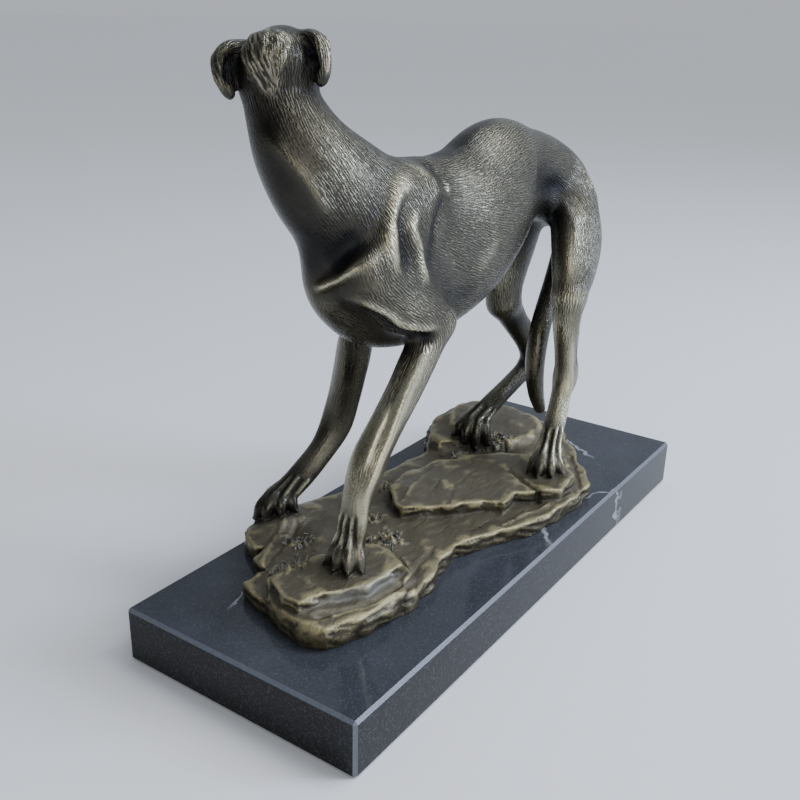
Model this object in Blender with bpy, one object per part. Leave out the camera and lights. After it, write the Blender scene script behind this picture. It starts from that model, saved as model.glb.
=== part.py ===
"""A cast greyhound that looks back over its shoulder, on its rocky ground and a marble base."""

import math

import bmesh
import bpy
import numpy as np
from mathutils import Matrix

# Driving dimensions, in metres
marble_length = 0.360
marble_width = 0.142
marble_height = 0.030
marble_arris = 0.0016
casting_height = 0.268
casting_gap = 0.0003
voxel_size = 0.0021
casting_triangles = 11000

# The casting is drawn in millimetres at this height, above the marble's top
DRAWN_HEIGHT = 268.0
MM = casting_height / DRAWN_HEIGHT

# A distance beyond every other one, the height that no rock reaches, and how coarse the first mesh is
BIG = 1.0e3
ROCK_REACH = 40.0
COARSE = 1.7

# How far from a mass it still counts, and how far from a line, in widths of the line
MASS_REACH = 22.0
LINE_REACH = 3.0

# Each pull moves a point by this share of its distance, and by no more than the longest step
PULL_SHARE = 0.8
LONGEST_STEP = 1.5

# Frame of the head: the way the muzzle points, and the crown, before they are made square
HEAD_CENTRE = (-110.0, 26.5, 253.5)
HEAD_FORWARD = (0.85, 0.53, -0.08)
HEAD_UP = (-0.05, 0.15, 1.0)


def unit(v):
    v = np.asarray(v, float)
    return v / np.linalg.norm(v)


def smooth_min(a, b, k):
    h = np.maximum(k - np.abs(a - b), 0.0) / k
    return np.minimum(a, b) - h * h * k * 0.25


def catmull(rows, steps):
    """Rows of numbers read from a smooth curve through the given rows."""
    rows = np.asarray(rows, float)
    padded = np.vstack([2 * rows[0] - rows[1], rows, 2 * rows[-1] - rows[-2]])
    out = []
    for i in range(len(rows) - 1):
        p0, p1, p2, p3 = padded[i : i + 4]
        for t in np.arange(steps) / steps:
            out.append(
                0.5 * (2 * p1 + (p2 - p0) * t + (2 * p0 - 5 * p1 + 4 * p2 - p3) * t**2
                       + (3 * p1 - p0 - 3 * p2 + p3) * t**3)
            )
    out.append(rows[-1])
    return np.array(out)


def ripple(points, wave, seed):
    """A smooth rough pattern between -1 and 1, with bumps about one wave long."""
    rng = np.random.default_rng(seed)
    turns = rng.normal(size=(7, 3))
    turns *= (2 * math.pi / wave) * rng.uniform(0.6, 1.4, (7, 1)) / np.linalg.norm(turns, axis=1)[:, None]
    return np.sin(points @ turns.T + rng.uniform(0, 2 * math.pi, 7)).sum(1) / 4.0


class Clay:
    """Smoothly joined masses, and the creases and ridges cut in them, as one distance field."""

    def __init__(self):
        self.masses = []
        self.lines = []
        self.slabs = []

    def sweep(self, stations, blend=6.0, steps=4, side=(0, 1, 0)):
        """A limb through (x, y, z, half width, half depth) stations; side is the way of its width."""
        rows = catmull(stations, steps)
        ways = np.gradient(rows[:, :3], axis=0)
        ways /= np.linalg.norm(ways, axis=1)[:, None]
        self.masses.append({"rows": rows, "ways": ways, "blend": blend, "side": np.asarray(side, float)})

    def blob(self, centre, radii, blend=6.0, axis=(1, 0, 0), side=(0, 1, 0)):
        """An ellipsoid: radii along its axis, across it, and along the third way."""
        ax = unit(axis)
        up = unit(np.cross(ax, side))
        sd = np.cross(up, ax)
        self.masses.append({
            "centre": np.asarray(centre, float), "radii": np.asarray(radii, float),
            "turn": np.array([ax, sd, up]), "blend": blend,
        })

    def slab(self, outline, top, slope=(0.0, 0.0), bottom=-6.0, edge=1.5, blend=2.5, bulge=0.0):
        """A sheet of rock: its outline, the height of its top at the origin, and how that slopes."""
        self.slabs.append({
            "outline": np.asarray(outline, float), "top": top, "slope": slope, "bottom": bottom,
            "edge": edge, "blend": blend, "bulge": bulge,
        })

    def line(self, points, width, height, steps=6):
        """A ridge of that height along a curve, or a crease where the height is negative."""
        self.lines.append({"rows": catmull(points, steps), "width": width, "height": height})

    def flank_lines(self, drawn):
        """Lines drawn on both flanks, each its (x, z) points, width and height, laid on the skin."""
        start, way = [], []
        for points, _, _ in drawn:
            for s in (-1, 1):
                start += [(x, s * 90.0, z) for x, z in points]
                way += [(0, -s, 0)] * len(points)
        skin = skin_points(self, start, np.array(way, float))
        for points, width, height in drawn:
            for s in (-1, 1):
                own, skin = skin[: len(points)], skin[len(points) :]
                self.line(own, width, height)


def skin_points(clay, start, way):
    """Where rays from the start points first meet the surface."""
    points = np.array(start, float)
    for _ in range(22):
        d = field(clay, points, reach=2 * MASS_REACH)
        points = points + way * np.clip(0.75 * d, -2.0, 14.0)[:, None]
    return points


def slab_distance(slab, points):
    """Distance to one sheet of rock, from its outline and its height."""
    outline = slab["outline"]
    best = np.full(len(points), BIG)
    inside = np.zeros(len(points), bool)
    x, y, z = points.T
    for (ax, ay), (bx, by) in zip(outline, np.roll(outline, -1, axis=0)):
        ex, ey = bx - ax, by - ay
        t = np.clip(((x - ax) * ex + (y - ay) * ey) / (ex * ex + ey * ey), 0.0, 1.0)
        best = np.minimum(best, np.hypot(x - ax - t * ex, y - ay - t * ey))
        crosses = (ay > y) != (by > y)
        inside ^= crosses & (x < (bx - ax) * (y - ay) / (by - ay + 1e-9) + ax)
    side = np.where(inside, -best, best) + slab["edge"]
    top = slab["top"] + x * slab["slope"][0] + y * slab["slope"][1]
    side = side - slab["bulge"] * (1.0 - ((z - 0.45 * top) / (0.6 * top)) ** 2)
    rise = np.maximum(z - top, slab["bottom"] - z) + slab["edge"]
    outer = np.hypot(np.maximum(side, 0.0), np.maximum(rise, 0.0))
    return outer + np.minimum(np.maximum(side, rise), 0.0) - slab["edge"]


def rock_distance(clay, points):
    """Distance to all the sheets of rock, with their weathered skin."""
    d = np.full(len(points), BIG)
    for slab in clay.slabs:
        d = smooth_min(d, slab_distance(slab, points), slab["blend"])
    return d - 0.9 * ripple(points * (1, 1, 2.2), 26.0, 3) - 0.5 * ripple(points * (1, 1, 2.6), 9.0, 5)


def ellipsoid_distance(q, radii):
    """Nearly the distance to an ellipsoid, from points in its own frame."""
    k0 = np.sqrt(((q / radii) ** 2).sum(-1))
    k1 = np.sqrt(((q / radii**2) ** 2).sum(-1)) + 1e-9
    return k0 * (k0 - 1.0) / k1


def mass_distance(mass, points, reach):
    """Which points are nearer than reach to one mass, and their distances to it."""
    if "centre" in mass:
        far = mass["radii"].max() + reach
        near = np.nonzero((np.abs(points - mass["centre"]) < far).all(1))[0]
        q = (points[near] - mass["centre"]) @ mass["turn"].T
        return near, ellipsoid_distance(q, mass["radii"])
    rows = mass["rows"]
    far = rows[:, 3:5].max() + reach
    low = rows[:, :3].min(0) - far
    high = rows[:, :3].max(0) + far
    near = np.nonzero(((points > low) & (points < high)).all(1))[0]
    local = points[near]
    out = np.full(len(near), BIG)
    for first, second, way0, way1 in zip(rows[:-1], rows[1:], mass["ways"][:-1], mass["ways"][1:]):
        far = max(first[3:5].max(), second[3:5].max()) + reach
        low = np.minimum(first[:3], second[:3]) - far
        high = np.maximum(first[:3], second[:3]) + far
        here = np.nonzero(((local > low) & (local < high)).all(1))[0]
        if not len(here):
            continue
        along = second[:3] - first[:3]
        a = local[here] - first[:3]
        t = np.clip(a @ along / (along @ along), 0.0, 1.0)[:, None]
        q = a - t * along
        ax = way0 + t * (way1 - way0)
        ax /= np.linalg.norm(ax, axis=1)[:, None]
        up = np.cross(ax, mass["side"])
        up /= np.linalg.norm(up, axis=1)[:, None]
        sd = np.cross(up, ax)
        size = first[3:5] + t * (second[3:5] - first[3:5])
        turned = np.stack([(q * ax).sum(1), (q * sd).sum(1), (q * up).sum(1)], -1)
        radii = np.stack([size.min(1), size[:, 0], size[:, 1]], -1)
        out[here] = np.minimum(out[here], ellipsoid_distance(turned, radii))
    return near, out


def line_distance(rows, points, reach):
    """Distance to a curve, for the points within reach of it."""
    out = np.full(len(points), BIG)
    for first, second in zip(rows[:-1], rows[1:]):
        low = np.minimum(first, second) - reach
        high = np.maximum(first, second) + reach
        near = np.nonzero(((points > low) & (points < high)).all(1))[0]
        if not len(near):
            continue
        along = second - first
        a = points[near] - first
        t = np.clip(a @ along / (along @ along), 0.0, 1.0)
        out[near] = np.minimum(out[near], np.linalg.norm(a - t[:, None] * along, axis=1))
    return out


def field(clay, points, reach=MASS_REACH):
    """Distance to the sculpted surface, good within reach of it, and below zero inside."""
    d = np.full(len(points), BIG)
    for mass in clay.masses:
        near, own = mass_distance(mass, points, reach)
        d[near] = smooth_min(d[near], own, mass["blend"])
    for line in clay.lines:
        away = line_distance(line["rows"], points, LINE_REACH * line["width"])
        d = d - line["height"] * np.exp(-((away / line["width"]) ** 2))
    low = np.nonzero(points[:, 2] < ROCK_REACH)[0]
    if clay.slabs and len(low):
        d[low] = smooth_min(d[low], rock_distance(clay, points[low]), 2.0)
    return d


def head_frame():
    """The head's own ways: forward to the nose, left, and up to the crown."""
    forward = unit(HEAD_FORWARD)
    left = unit(np.cross(HEAD_UP, forward))
    return np.array([forward, left, np.cross(forward, left)])


def at_head(local):
    return np.asarray(HEAD_CENTRE) + np.asarray(local, float) @ head_frame()


def head_row(row):
    return (*at_head(row[:3]), *row[3:])


def trunk(clay):
    """Deep chest, tucked belly and arched loin, from the breast to the rump."""
    clay.sweep([
        (-100, 8, 168, 10, 15), (-88, 7, 165, 19, 30.5), (-70, 6, 163.5, 25, 42.5), (-46, 4, 162, 27, 47),
        (-22, 3, 162, 28, 46), (2, 1, 167, 28, 44), (26, 0, 177, 25, 40.5), (46, 0, 185, 21.5, 34),
        (66, 0, 187.5, 19.5, 28), (90, 0, 184, 20.5, 25.5), (113, 0, 176, 21, 23), (131, -1, 165, 15, 18),
    ], blend=8)
    clay.blob((34, 0, 202), (32, 15, 19), 10)


def neck(clay):
    """The neck, which turns the head back over the right shoulder."""
    clay.sweep([
        (-64, 4, 178, 25, 30), (-82, 6, 189, 24, 30), (-97, 10, 202, 22.5, 27), (-106, 15.5, 216, 21, 21.8),
        (-110, 20.5, 230, 18, 17.4), (-111.5, 25, 243, 15.5, 14.6),
    ], blend=10)


def head(clay):
    """Skull, muzzle and nose, with cheeks, brows and ears on both sides."""
    forward, left, _ = head_frame()

    def blob(centre, radii, blend):
        clay.blob(at_head(centre), radii, blend, axis=forward, side=left)

    blob((-2, 0, 0), (19, 15.5, 15), 6)
    blob((-16, 0, 3), (6, 8, 7), 6)
    blob((13, 0, -0.5), (15, 12.5, 11), 5)
    clay.sweep([head_row(r) for r in (
        (8, 0, -4, 12, 11), (22, 0, -6, 10, 10.5), (36, 0, -8.5, 7.8, 8.6), (49, 0, -10.2, 6.4, 7.2),
        (58, 0, -11, 5.4, 6))], blend=4, side=left)
    blob((61.5, 0, -7.8), (4, 4.4, 3.6), 1.5)
    for s in (1, -1):
        blob((3, s * 11, -7), (13, 6, 9), 5)
        blob((20.5, s * 9.4, 3.0), (5.0, 3.2, 3.4), 2)
        ear(clay, s)


def ear(clay, s):
    """An ear that folds out and hangs down the side of the skull, on the side s."""
    forward = head_frame()[0]
    clay.sweep([head_row(r) for r in (
        (-3, s * 12, 6, 6, 4), (-5, s * 17, 6.5, 6.5, 3.8), (-8, s * 20.5, 3.5, 6.5, 3.8),
        (-9, s * 21, -2.5, 6.2, 3.9), (-10, s * 20.5, -8, 4.4, 3.4), (-10.5, s * 19.5, -11.5, 2.2, 2.4))],
        blend=2, side=forward)


def foreleg(clay, blade, shoulder, elbow, arm, foot, toward):
    """Blade, upper arm, forearm, wrist and paw; toward is the way the toes point."""
    blade, shoulder, elbow = map(np.asarray, (blade, shoulder, elbow))
    clay.sweep([(*blade, 8, 13), (*(0.5 * (blade + shoulder)), 10, 15), (*shoulder, 9, 10)], blend=12)
    clay.sweep([(*shoulder, 8.5, 10), (*(0.5 * (shoulder + elbow)), 11.5, 15.5), (*elbow, 8, 10)], blend=10)
    clay.sweep([(*elbow, 8, 9), *arm, foot], blend=5)
    toes(clay, np.asarray(foot[:3]), toward, 4.0)


def toes(clay, paw, toward, size):
    """Four arched toes with nails, the middle pair the longest."""
    ahead = unit(toward)
    across = unit(np.cross((0, 0, 1), ahead))
    for side, reach in ((-1.5, 0.3), (-0.5, 1.0), (0.5, 1.0), (1.5, 0.3)):
        start = paw + across * side * size * 0.7 + ahead * 0.5 + np.array((0, 0, 0.5))
        knuckle = start + ahead * (4.0 + 3.0 * reach) + across * side * 1.0 + np.array((0, 0, -2.2))
        tip = knuckle + ahead * 4.4 + across * side * 0.3 + np.array((0, 0, -5.0))
        nail = tip + ahead * 2.8 + np.array((0, 0, -1.8))
        clay.sweep([(*start, size * 0.8, size * 0.8), (*knuckle, size * 0.86, size * 0.92),
                    (*tip, size * 0.72, size * 0.72)], blend=1.0, steps=3, side=across)
        clay.sweep([(*tip, 1.7, 1.8), (*nail, 1.0, 1.1)], blend=0.8, steps=2, side=across)


def hindleg(clay, thigh, shin, hock, foot, toward):
    """Thigh and shin through their stations, then the hock's point, the shank and the paw."""
    clay.sweep(thigh, blend=9)
    clay.sweep([*shin, (*hock, 6.2, 7.0)], blend=6)
    hock, paw = np.asarray(hock), np.asarray(foot[:3])
    knee = np.asarray(shin[0][:3])
    heel = hock + np.array((6.0, 0, 4.5))
    calf = knee + 0.5 * (hock - knee) + np.array((6, 0, 3))
    tendon = 0.5 * (calf + heel) + np.array((0.5, 0, 0))
    clay.sweep([(*calf, 4.5, 5), (*tendon, 3.6, 3.8), (*heel, 4.2, 4.5)], blend=5)
    clay.sweep([(*heel, 4.4, 4.6), (*(hock + np.array((2, 0, -5))), 5, 6)], blend=4)
    past = paw - hock
    clay.sweep([
        (*hock, 6.2, 7.0), (*(hock + 0.35 * past), 6.0, 6.4), (*(hock + 0.75 * past), 6.6, 6.4), foot,
    ], blend=5)
    toes(clay, paw, toward, 3.9)


def tail(clay):
    """The tail, from the croup down between the hind legs."""
    clay.sweep([
        (124, 0, 180, 8, 9), (135, -1, 165, 7, 8), (131, -2, 143, 6.5, 7), (118, -3, 118, 6.4, 6.8),
        (102, -4, 92, 6.6, 6.8), (95, -5, 68, 6.4, 6.6), (97, -6, 48, 5.4, 5.6), (103, -7, 34, 4.0, 4.2),
    ], blend=4)


def rock(clay):
    """Sheets of bedrock: the ground, the front block and its shelf, the rear shelf and the mound."""
    clay.slab([
        (-119, -34), (-101, -43), (-76, -41), (-64, -37), (-43, -34), (-22, -42), (0, -54), (21, -59),
        (55, -62), (70, -60), (84, -52), (94, -41), (112, -31), (122, -19), (137, -10), (142, 12),
        (143, 32), (136, 50), (118, 61), (90, 64), (70, 60), (58, 48), (40, 46), (8, 49), (-10, 49),
        (-36, 54), (-55, 62), (-78, 68), (-97, 68), (-105, 62), (-110, 51), (-106, 46), (-119, 42),
        (-122, 32), (-138, 31), (-144, 20), (-146, 4), (-140, -18),
    ], 8.5)
    clay.slab([
        (-148, -30), (-152, -18), (-149, -5), (-143, 10), (-132, 20), (-112, 18), (-88, 4), (-78, -16),
        (-84, -32), (-104, -40), (-128, -37),
    ], 12.0, bulge=2.0)
    clay.slab([
        (-140, 13), (-147, -2), (-147, -12), (-134, -16), (-116, -29), (-88, -31), (-81, -20), (-81, -8),
        (-92, 4), (-110, 8), (-127, 11),
    ], 18.0, edge=1.0, blend=1.2)
    clay.slab([
        (-20, 26), (-34, 14), (-37, 6), (-20, -13), (-2, -27), (3, -38), (18, -36), (28, -46), (38, -56),
        (62, -54), (73, -40), (71, -19), (62, -2), (47, 12), (23, 26), (0, 31),
    ], 15.5, edge=1.0, blend=1.2)
    clay.slab([
        (68, 57), (56, 48), (52, 38), (60, 30), (72, 18), (84, 4), (104, -4), (122, -2), (134, 10), (138, 30),
        (132, 48), (116, 58), (90, 61),
    ], 15.0, slope=(0.0, 0.05), edge=2.0, blend=4.0)
    clay.blob((98, 46, 6), (36, 18, 15), 6)
    clay.blob((-78, 56, 4), (24, 11, 10), 6)


def carving(clay):
    """Ridges, folds and hollows of the skin."""
    clay.flank_lines([
        ([(-60, 207), (-74, 200), (-90, 189), (-94, 177), (-89, 160)], 3.6, 1.8),
        ([(-66, 195), (-75, 185), (-70, 171), (-64, 153)], 3.0, 1.2),
        ([(-70, 199), (-83, 187), (-82, 172), (-76, 156)], 3.0, -0.9),
        ([(-42, 196), (-54, 189), (-61, 178), (-57, 160)], 3.6, -1.1),
        ([(-32, 199), (-38, 193)], 3.0, 0.8),
        ([(-104, 153), (-95, 147), (-82, 138), (-67, 135), (-54, 137)], 2.8, 1.4),
        ([(-100, 144), (-90, 138), (-76, 131), (-62, 129)], 3.4, -2.2),
        ([(46, 193), (66, 187), (84, 180)], 8.0, -1.9),
        ([(98, 197), (110, 188)], 6.0, 1.0),
        ([(88, 176), (78, 158), (72, 142), (69, 128)], 6.0, 1.0),
    ])
    clay.line([(-108, 1, 159), (-109, -5, 163), (-106, -11, 168)], 3.0, 2.2)
    clay.line([(-108, -3, 174), (-106, -8, 178), (-101, -12, 183)], 5.0, -2.4)
    clay.line([(-129, 14, 225), (-124, 4, 214), (-117, -2, 202), (-112, -5, 190)], 5.0, 1.4)
    clay.line([(-59, -29, 134), (-72, -28, 118), (-83, -26, 103), (-93, -25, 86), (-100, -22, 72),
               (-106, -21, 58), (-108, -20, 45)], 2.2, 1.2)
    clay.line([(-72, -24, 127), (-82, -23, 112), (-93, -21, 95), (-101, -19, 79), (-106, -17, 63)], 2.2, -0.8)


def figure():
    """The whole casting as clay: the hound, its skin's carving and the rock."""
    clay = Clay()
    trunk(clay)
    neck(clay)
    head(clay)
    foreleg(clay, (-54, -11, 194), (-95, -12, 163), (-50, -22, 133), [
        (-64, -21, 118, 9.0, 9.2), (-75, -20, 104, 8.6, 8.8), (-87, -18, 89, 8.4, 8.5),
        (-95, -15, 75, 8.8, 9.2), (-99, -14, 65, 8.8, 9.2), (-104, -13, 52, 7.2, 7.0),
        (-105, -12, 40, 7.4, 6.8),
    ], (-106, -11, 29, 8.0, 6.6), (-0.95, -0.3, 0))
    foreleg(clay, (-54, 16, 194), (-80, 17, 160), (-46, 29, 130), [
        (-41, 36, 105, 9.0, 10), (-39, 41, 88, 8.8, 9.4), (-38, 46, 71, 8.6, 9.0), (-40, 50, 56, 8.8, 9.0),
        (-49, 53, 43, 7.6, 7.4), (-62, 57, 31, 7.8, 6.8),
    ], (-75, 60, 22.5, 8.2, 6.2), (-0.95, 0.2, 0))
    hindleg(clay, [
        (110, -17, 170, 12, 20), (99, -24, 153, 13.5, 27), (86, -30, 136, 12, 21), (77, -33, 122, 9.5, 13),
    ], [
        (74, -34, 120, 9, 10), (76, -33, 104, 8, 9.5), (80, -32, 87, 6.6, 7.5),
    ], (85, -31, 67), (59, -35, 25, 7.4, 6.2), (-0.95, -0.25, 0))
    hindleg(clay, [
        (110, 17, 170, 12, 20), (104, 21, 150, 13.5, 26), (96, 21, 124, 12, 19), (93, 20, 104, 9.5, 12),
    ], [
        (94, 20, 104, 9, 11), (106, 18, 90, 8, 9.5), (118, 14, 72, 6.6, 7.6),
    ], (125, 12, 56), (75, 25, 27, 7.4, 6.0), (-0.97, 0.15, 0))
    tail(clay)
    carving(clay)
    rock(clay)
    return clay


def rough_mesh(clay):
    """The masses as overlapping spheres, for the voxel remesh to fuse."""
    bm = bmesh.new()
    for mass in clay.masses:
        if "centre" in mass:
            turn = np.column_stack([mass["turn"].T * mass["radii"], mass["centre"]])
            add_ball(bm, turn)
            continue
        rows = mass["rows"]
        for i, row in enumerate(rows):
            ax = mass["ways"][i]
            up = unit(np.cross(ax, mass["side"]))
            sd = np.cross(up, ax)
            size = min(row[3], row[4])
            turn = np.column_stack([ax * size, sd * row[3], up * row[4], row[:3]])
            add_ball(bm, turn)
    for slab in clay.slabs:
        top = slab["top"] + slab["outline"] @ np.array(slab["slope"])
        low = [bm.verts.new((*p, slab["bottom"])) for p in slab["outline"]]
        high = [bm.verts.new((*p, z)) for p, z in zip(slab["outline"], top)]
        bm.faces.new(low)
        bm.faces.new(high)
        for i in range(len(low)):
            j = (i + 1) % len(low)
            bm.faces.new((low[i], low[j], high[j], high[i]))
    bmesh.ops.recalc_face_normals(bm, faces=bm.faces[:])
    mesh = bpy.data.meshes.new("rough")
    bm.to_mesh(mesh)
    bm.free()
    return mesh


def add_ball(bm, turn):
    matrix = Matrix([[*row] for row in turn] + [[0, 0, 0, 1]])
    bmesh.ops.create_icosphere(bm, subdivisions=2, radius=1.0, matrix=matrix)


def evaluated(mesh, *modifiers):
    """The mesh after these modifiers, each a type and its settings."""
    holder = bpy.data.objects.new("holder", mesh)
    bpy.context.collection.objects.link(holder)
    for kind, settings in modifiers:
        modifier = holder.modifiers.new(kind.lower(), kind)
        for name, value in settings.items():
            setattr(modifier, name, value)
    bpy.context.view_layer.update()
    graph = bpy.context.evaluated_depsgraph_get()
    made = bpy.data.meshes.new_from_object(holder.evaluated_get(graph))
    bpy.data.objects.remove(holder)
    return made


def fused(mesh, voxel):
    """The mesh's overlapping parts as one skin."""
    return evaluated(mesh, ("REMESH", {"mode": "VOXEL", "voxel_size": voxel}))


def pull_to_field(mesh, clay, rounds):
    """Moves each point along the surface's own normal until it lies on the sculpted surface."""
    co = np.empty(len(mesh.vertices) * 3)
    normal = np.empty(len(mesh.vertices) * 3)
    for _ in range(rounds):
        mesh.vertices.foreach_get("co", co)
        mesh.vertices.foreach_get("normal", normal)
        d = field(clay, co.reshape(-1, 3))
        step = PULL_SHARE * np.clip(d, -LONGEST_STEP, LONGEST_STEP)
        mesh.vertices.foreach_set("co", (co.reshape(-1, 3) - step[:, None] * normal.reshape(-1, 3)).ravel())
        mesh.update()


def sculpted(clay):
    """The clay as a closed mesh: fused coarsely, pulled to shape, then fused finely and pulled again."""
    rough = evaluated(
        rough_mesh(clay),
        ("REMESH", {"mode": "VOXEL", "voxel_size": COARSE * voxel_size / MM}),
        ("SMOOTH", {"factor": 0.5, "iterations": 4}),
    )
    pull_to_field(rough, clay, 5)
    mesh = fused(rough, voxel_size / MM)
    pull_to_field(mesh, clay, 3)
    return mesh


def flat_bottom(mesh, level):
    """Cuts the mesh level there and closes it with a flat face."""
    bm = bmesh.new()
    bm.from_mesh(mesh)
    everything = bm.verts[:] + bm.edges[:] + bm.faces[:]
    cut = bmesh.ops.bisect_plane(
        bm, geom=everything, dist=1e-4, plane_co=(0, 0, level), plane_no=(0, 0, 1), clear_inner=True,
    )
    rim = [e for e in cut["geom_cut"] if isinstance(e, bmesh.types.BMEdge)]
    bmesh.ops.triangle_fill(bm, edges=rim, use_beauty=True, normal=(0, 0, -1))
    bmesh.ops.recalc_face_normals(bm, faces=bm.faces[:])
    bm.to_mesh(mesh)
    bm.free()


def thinned(mesh, triangles):
    """The mesh with about that many triangles, more of them where it curves."""
    ratio = triangles / (2.0 * len(mesh.polygons))
    return evaluated(mesh, ("TRIANGULATE", {}), ("DECIMATE", {"ratio": ratio}))


def scaled(mesh, size, height):
    for v in mesh.vertices:
        v.co = v.co * size
        v.co.z += height
    mesh.update()


def bronze_material():
    material = bpy.data.materials.new("patinated_bronze")
    material.use_nodes = True
    shader = material.node_tree.nodes["Principled BSDF"]
    shader.inputs["Base Color"].default_value = (0.112, 0.091, 0.055, 1.0)
    shader.inputs["Metallic"].default_value = 0.9
    shader.inputs["Roughness"].default_value = 0.42
    return material


def marble_material():
    material = bpy.data.materials.new("black_marble")
    material.use_nodes = True
    shader = material.node_tree.nodes["Principled BSDF"]
    shader.inputs["Base Color"].default_value = (0.018, 0.018, 0.021, 1.0)
    shader.inputs["Metallic"].default_value = 0.0
    shader.inputs["Roughness"].default_value = 0.14
    return material


def make_casting():
    """The greyhound and its rocky ground, cast as one piece."""
    clay = figure()
    mesh = thinned(sculpted(clay), casting_triangles)
    flat_bottom(mesh, 0.0)
    scaled(mesh, MM, marble_height + casting_gap)
    mesh.materials.append(bronze_material())
    mesh.shade_smooth()
    casting = bpy.data.objects.new("bronze_greyhound", mesh)
    bpy.context.collection.objects.link(casting)


def make_base():
    """The polished slab, with a small flat on every edge."""
    bm = bmesh.new()
    bmesh.ops.create_cube(bm, size=1.0)
    bmesh.ops.scale(bm, vec=(marble_length, marble_width, marble_height), verts=bm.verts)
    bmesh.ops.translate(bm, vec=(0, 0, marble_height / 2), verts=bm.verts)
    bmesh.ops.bevel(
        bm, geom=bm.edges[:], offset=marble_arris, segments=1, affect="EDGES", profile=0.5, material=-1,
    )
    mesh = bpy.data.meshes.new("marble_base")
    bm.to_mesh(mesh)
    bm.free()
    mesh.materials.append(marble_material())
    base = bpy.data.objects.new("marble_base", mesh)
    bpy.context.collection.objects.link(base)


def main():
    for obj in list(bpy.data.objects):
        bpy.data.objects.remove(obj)
    make_base()
    make_casting()


main()
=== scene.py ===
import math

import bmesh
import bpy
import numpy as np
from mathutils import Matrix, Vector


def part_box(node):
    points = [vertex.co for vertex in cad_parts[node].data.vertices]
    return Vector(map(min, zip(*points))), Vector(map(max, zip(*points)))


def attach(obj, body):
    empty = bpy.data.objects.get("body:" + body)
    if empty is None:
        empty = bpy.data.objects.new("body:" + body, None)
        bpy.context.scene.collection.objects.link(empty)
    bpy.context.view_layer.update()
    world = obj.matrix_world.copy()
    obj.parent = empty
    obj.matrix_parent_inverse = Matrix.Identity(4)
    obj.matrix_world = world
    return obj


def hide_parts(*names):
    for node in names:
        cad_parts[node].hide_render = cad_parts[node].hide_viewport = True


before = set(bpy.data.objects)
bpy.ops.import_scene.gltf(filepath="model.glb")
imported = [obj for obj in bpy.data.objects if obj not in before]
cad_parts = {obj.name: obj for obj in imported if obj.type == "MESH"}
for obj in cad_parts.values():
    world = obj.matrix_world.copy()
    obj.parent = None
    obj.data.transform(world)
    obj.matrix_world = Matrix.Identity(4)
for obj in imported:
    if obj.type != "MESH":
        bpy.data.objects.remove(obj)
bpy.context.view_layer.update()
print("frame loaded", list(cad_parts))

# The casting is drawn in millimetres above the marble's top, and turned to metres at the end.
# A mass is felt as far as reach, the rock up to rockReach, and far is farther than anything
drawn = {"castingHeight": 268.0, "far": 1000.0, "reach": 16.0, "rockReach": 44.0}
marbleLow, marbleHigh = (Vector(corner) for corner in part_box("marble_base"))
castLow, castHigh = (Vector(corner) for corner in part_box("bronze_greyhound"))
mm = (castHigh.z - castLow.z) / drawn["castingHeight"]


def unit(v):
    v = np.asarray(v, float)
    return v / np.linalg.norm(v)


def smoothMin(a, b, k):
    h = np.maximum(k - np.abs(a - b), 0.0) / k
    return np.minimum(a, b) - h * h * k * 0.25


def curveThrough(rows, steps):  # rows read from a smooth curve through the given rows
    rows = np.asarray(rows, float)
    padded = np.vstack([2 * rows[0] - rows[1], rows, 2 * rows[-1] - rows[-2]])
    out = []
    for i in range(len(rows) - 1):
        p0, p1, p2, p3 = padded[i : i + 4]
        for t in np.arange(steps) / steps:
            out.append(0.5 * (2 * p1 + (p2 - p0) * t + (2 * p0 - 5 * p1 + 4 * p2 - p3) * t**2
                              + (3 * p1 - p0 - 3 * p2 + p3) * t**3))
    out.append(rows[-1])
    return np.array(out)


def ripple(points, wave, seed):  # smooth rough pattern from -1 to 1, its bumps about one wave long
    rng = np.random.default_rng(seed)
    turns = rng.normal(size=(7, 3))
    turns *= (2 * math.pi / wave) * rng.uniform(0.6, 1.4, (7, 1)) / np.linalg.norm(turns, axis=1)[:, None]
    return np.sin(points @ turns.T + rng.uniform(0, 2 * math.pi, 7)).sum(1) / 4.0


def toSegment(points, first, second):  # how far each point is from the segment, and where along it
    step = np.subtract(second, first)
    a = points - first
    t = np.clip(a @ step / (step @ step + 1e-9), 0.0, 1.0)
    return np.linalg.norm(a - t[:, None] * step, axis=1), t


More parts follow.
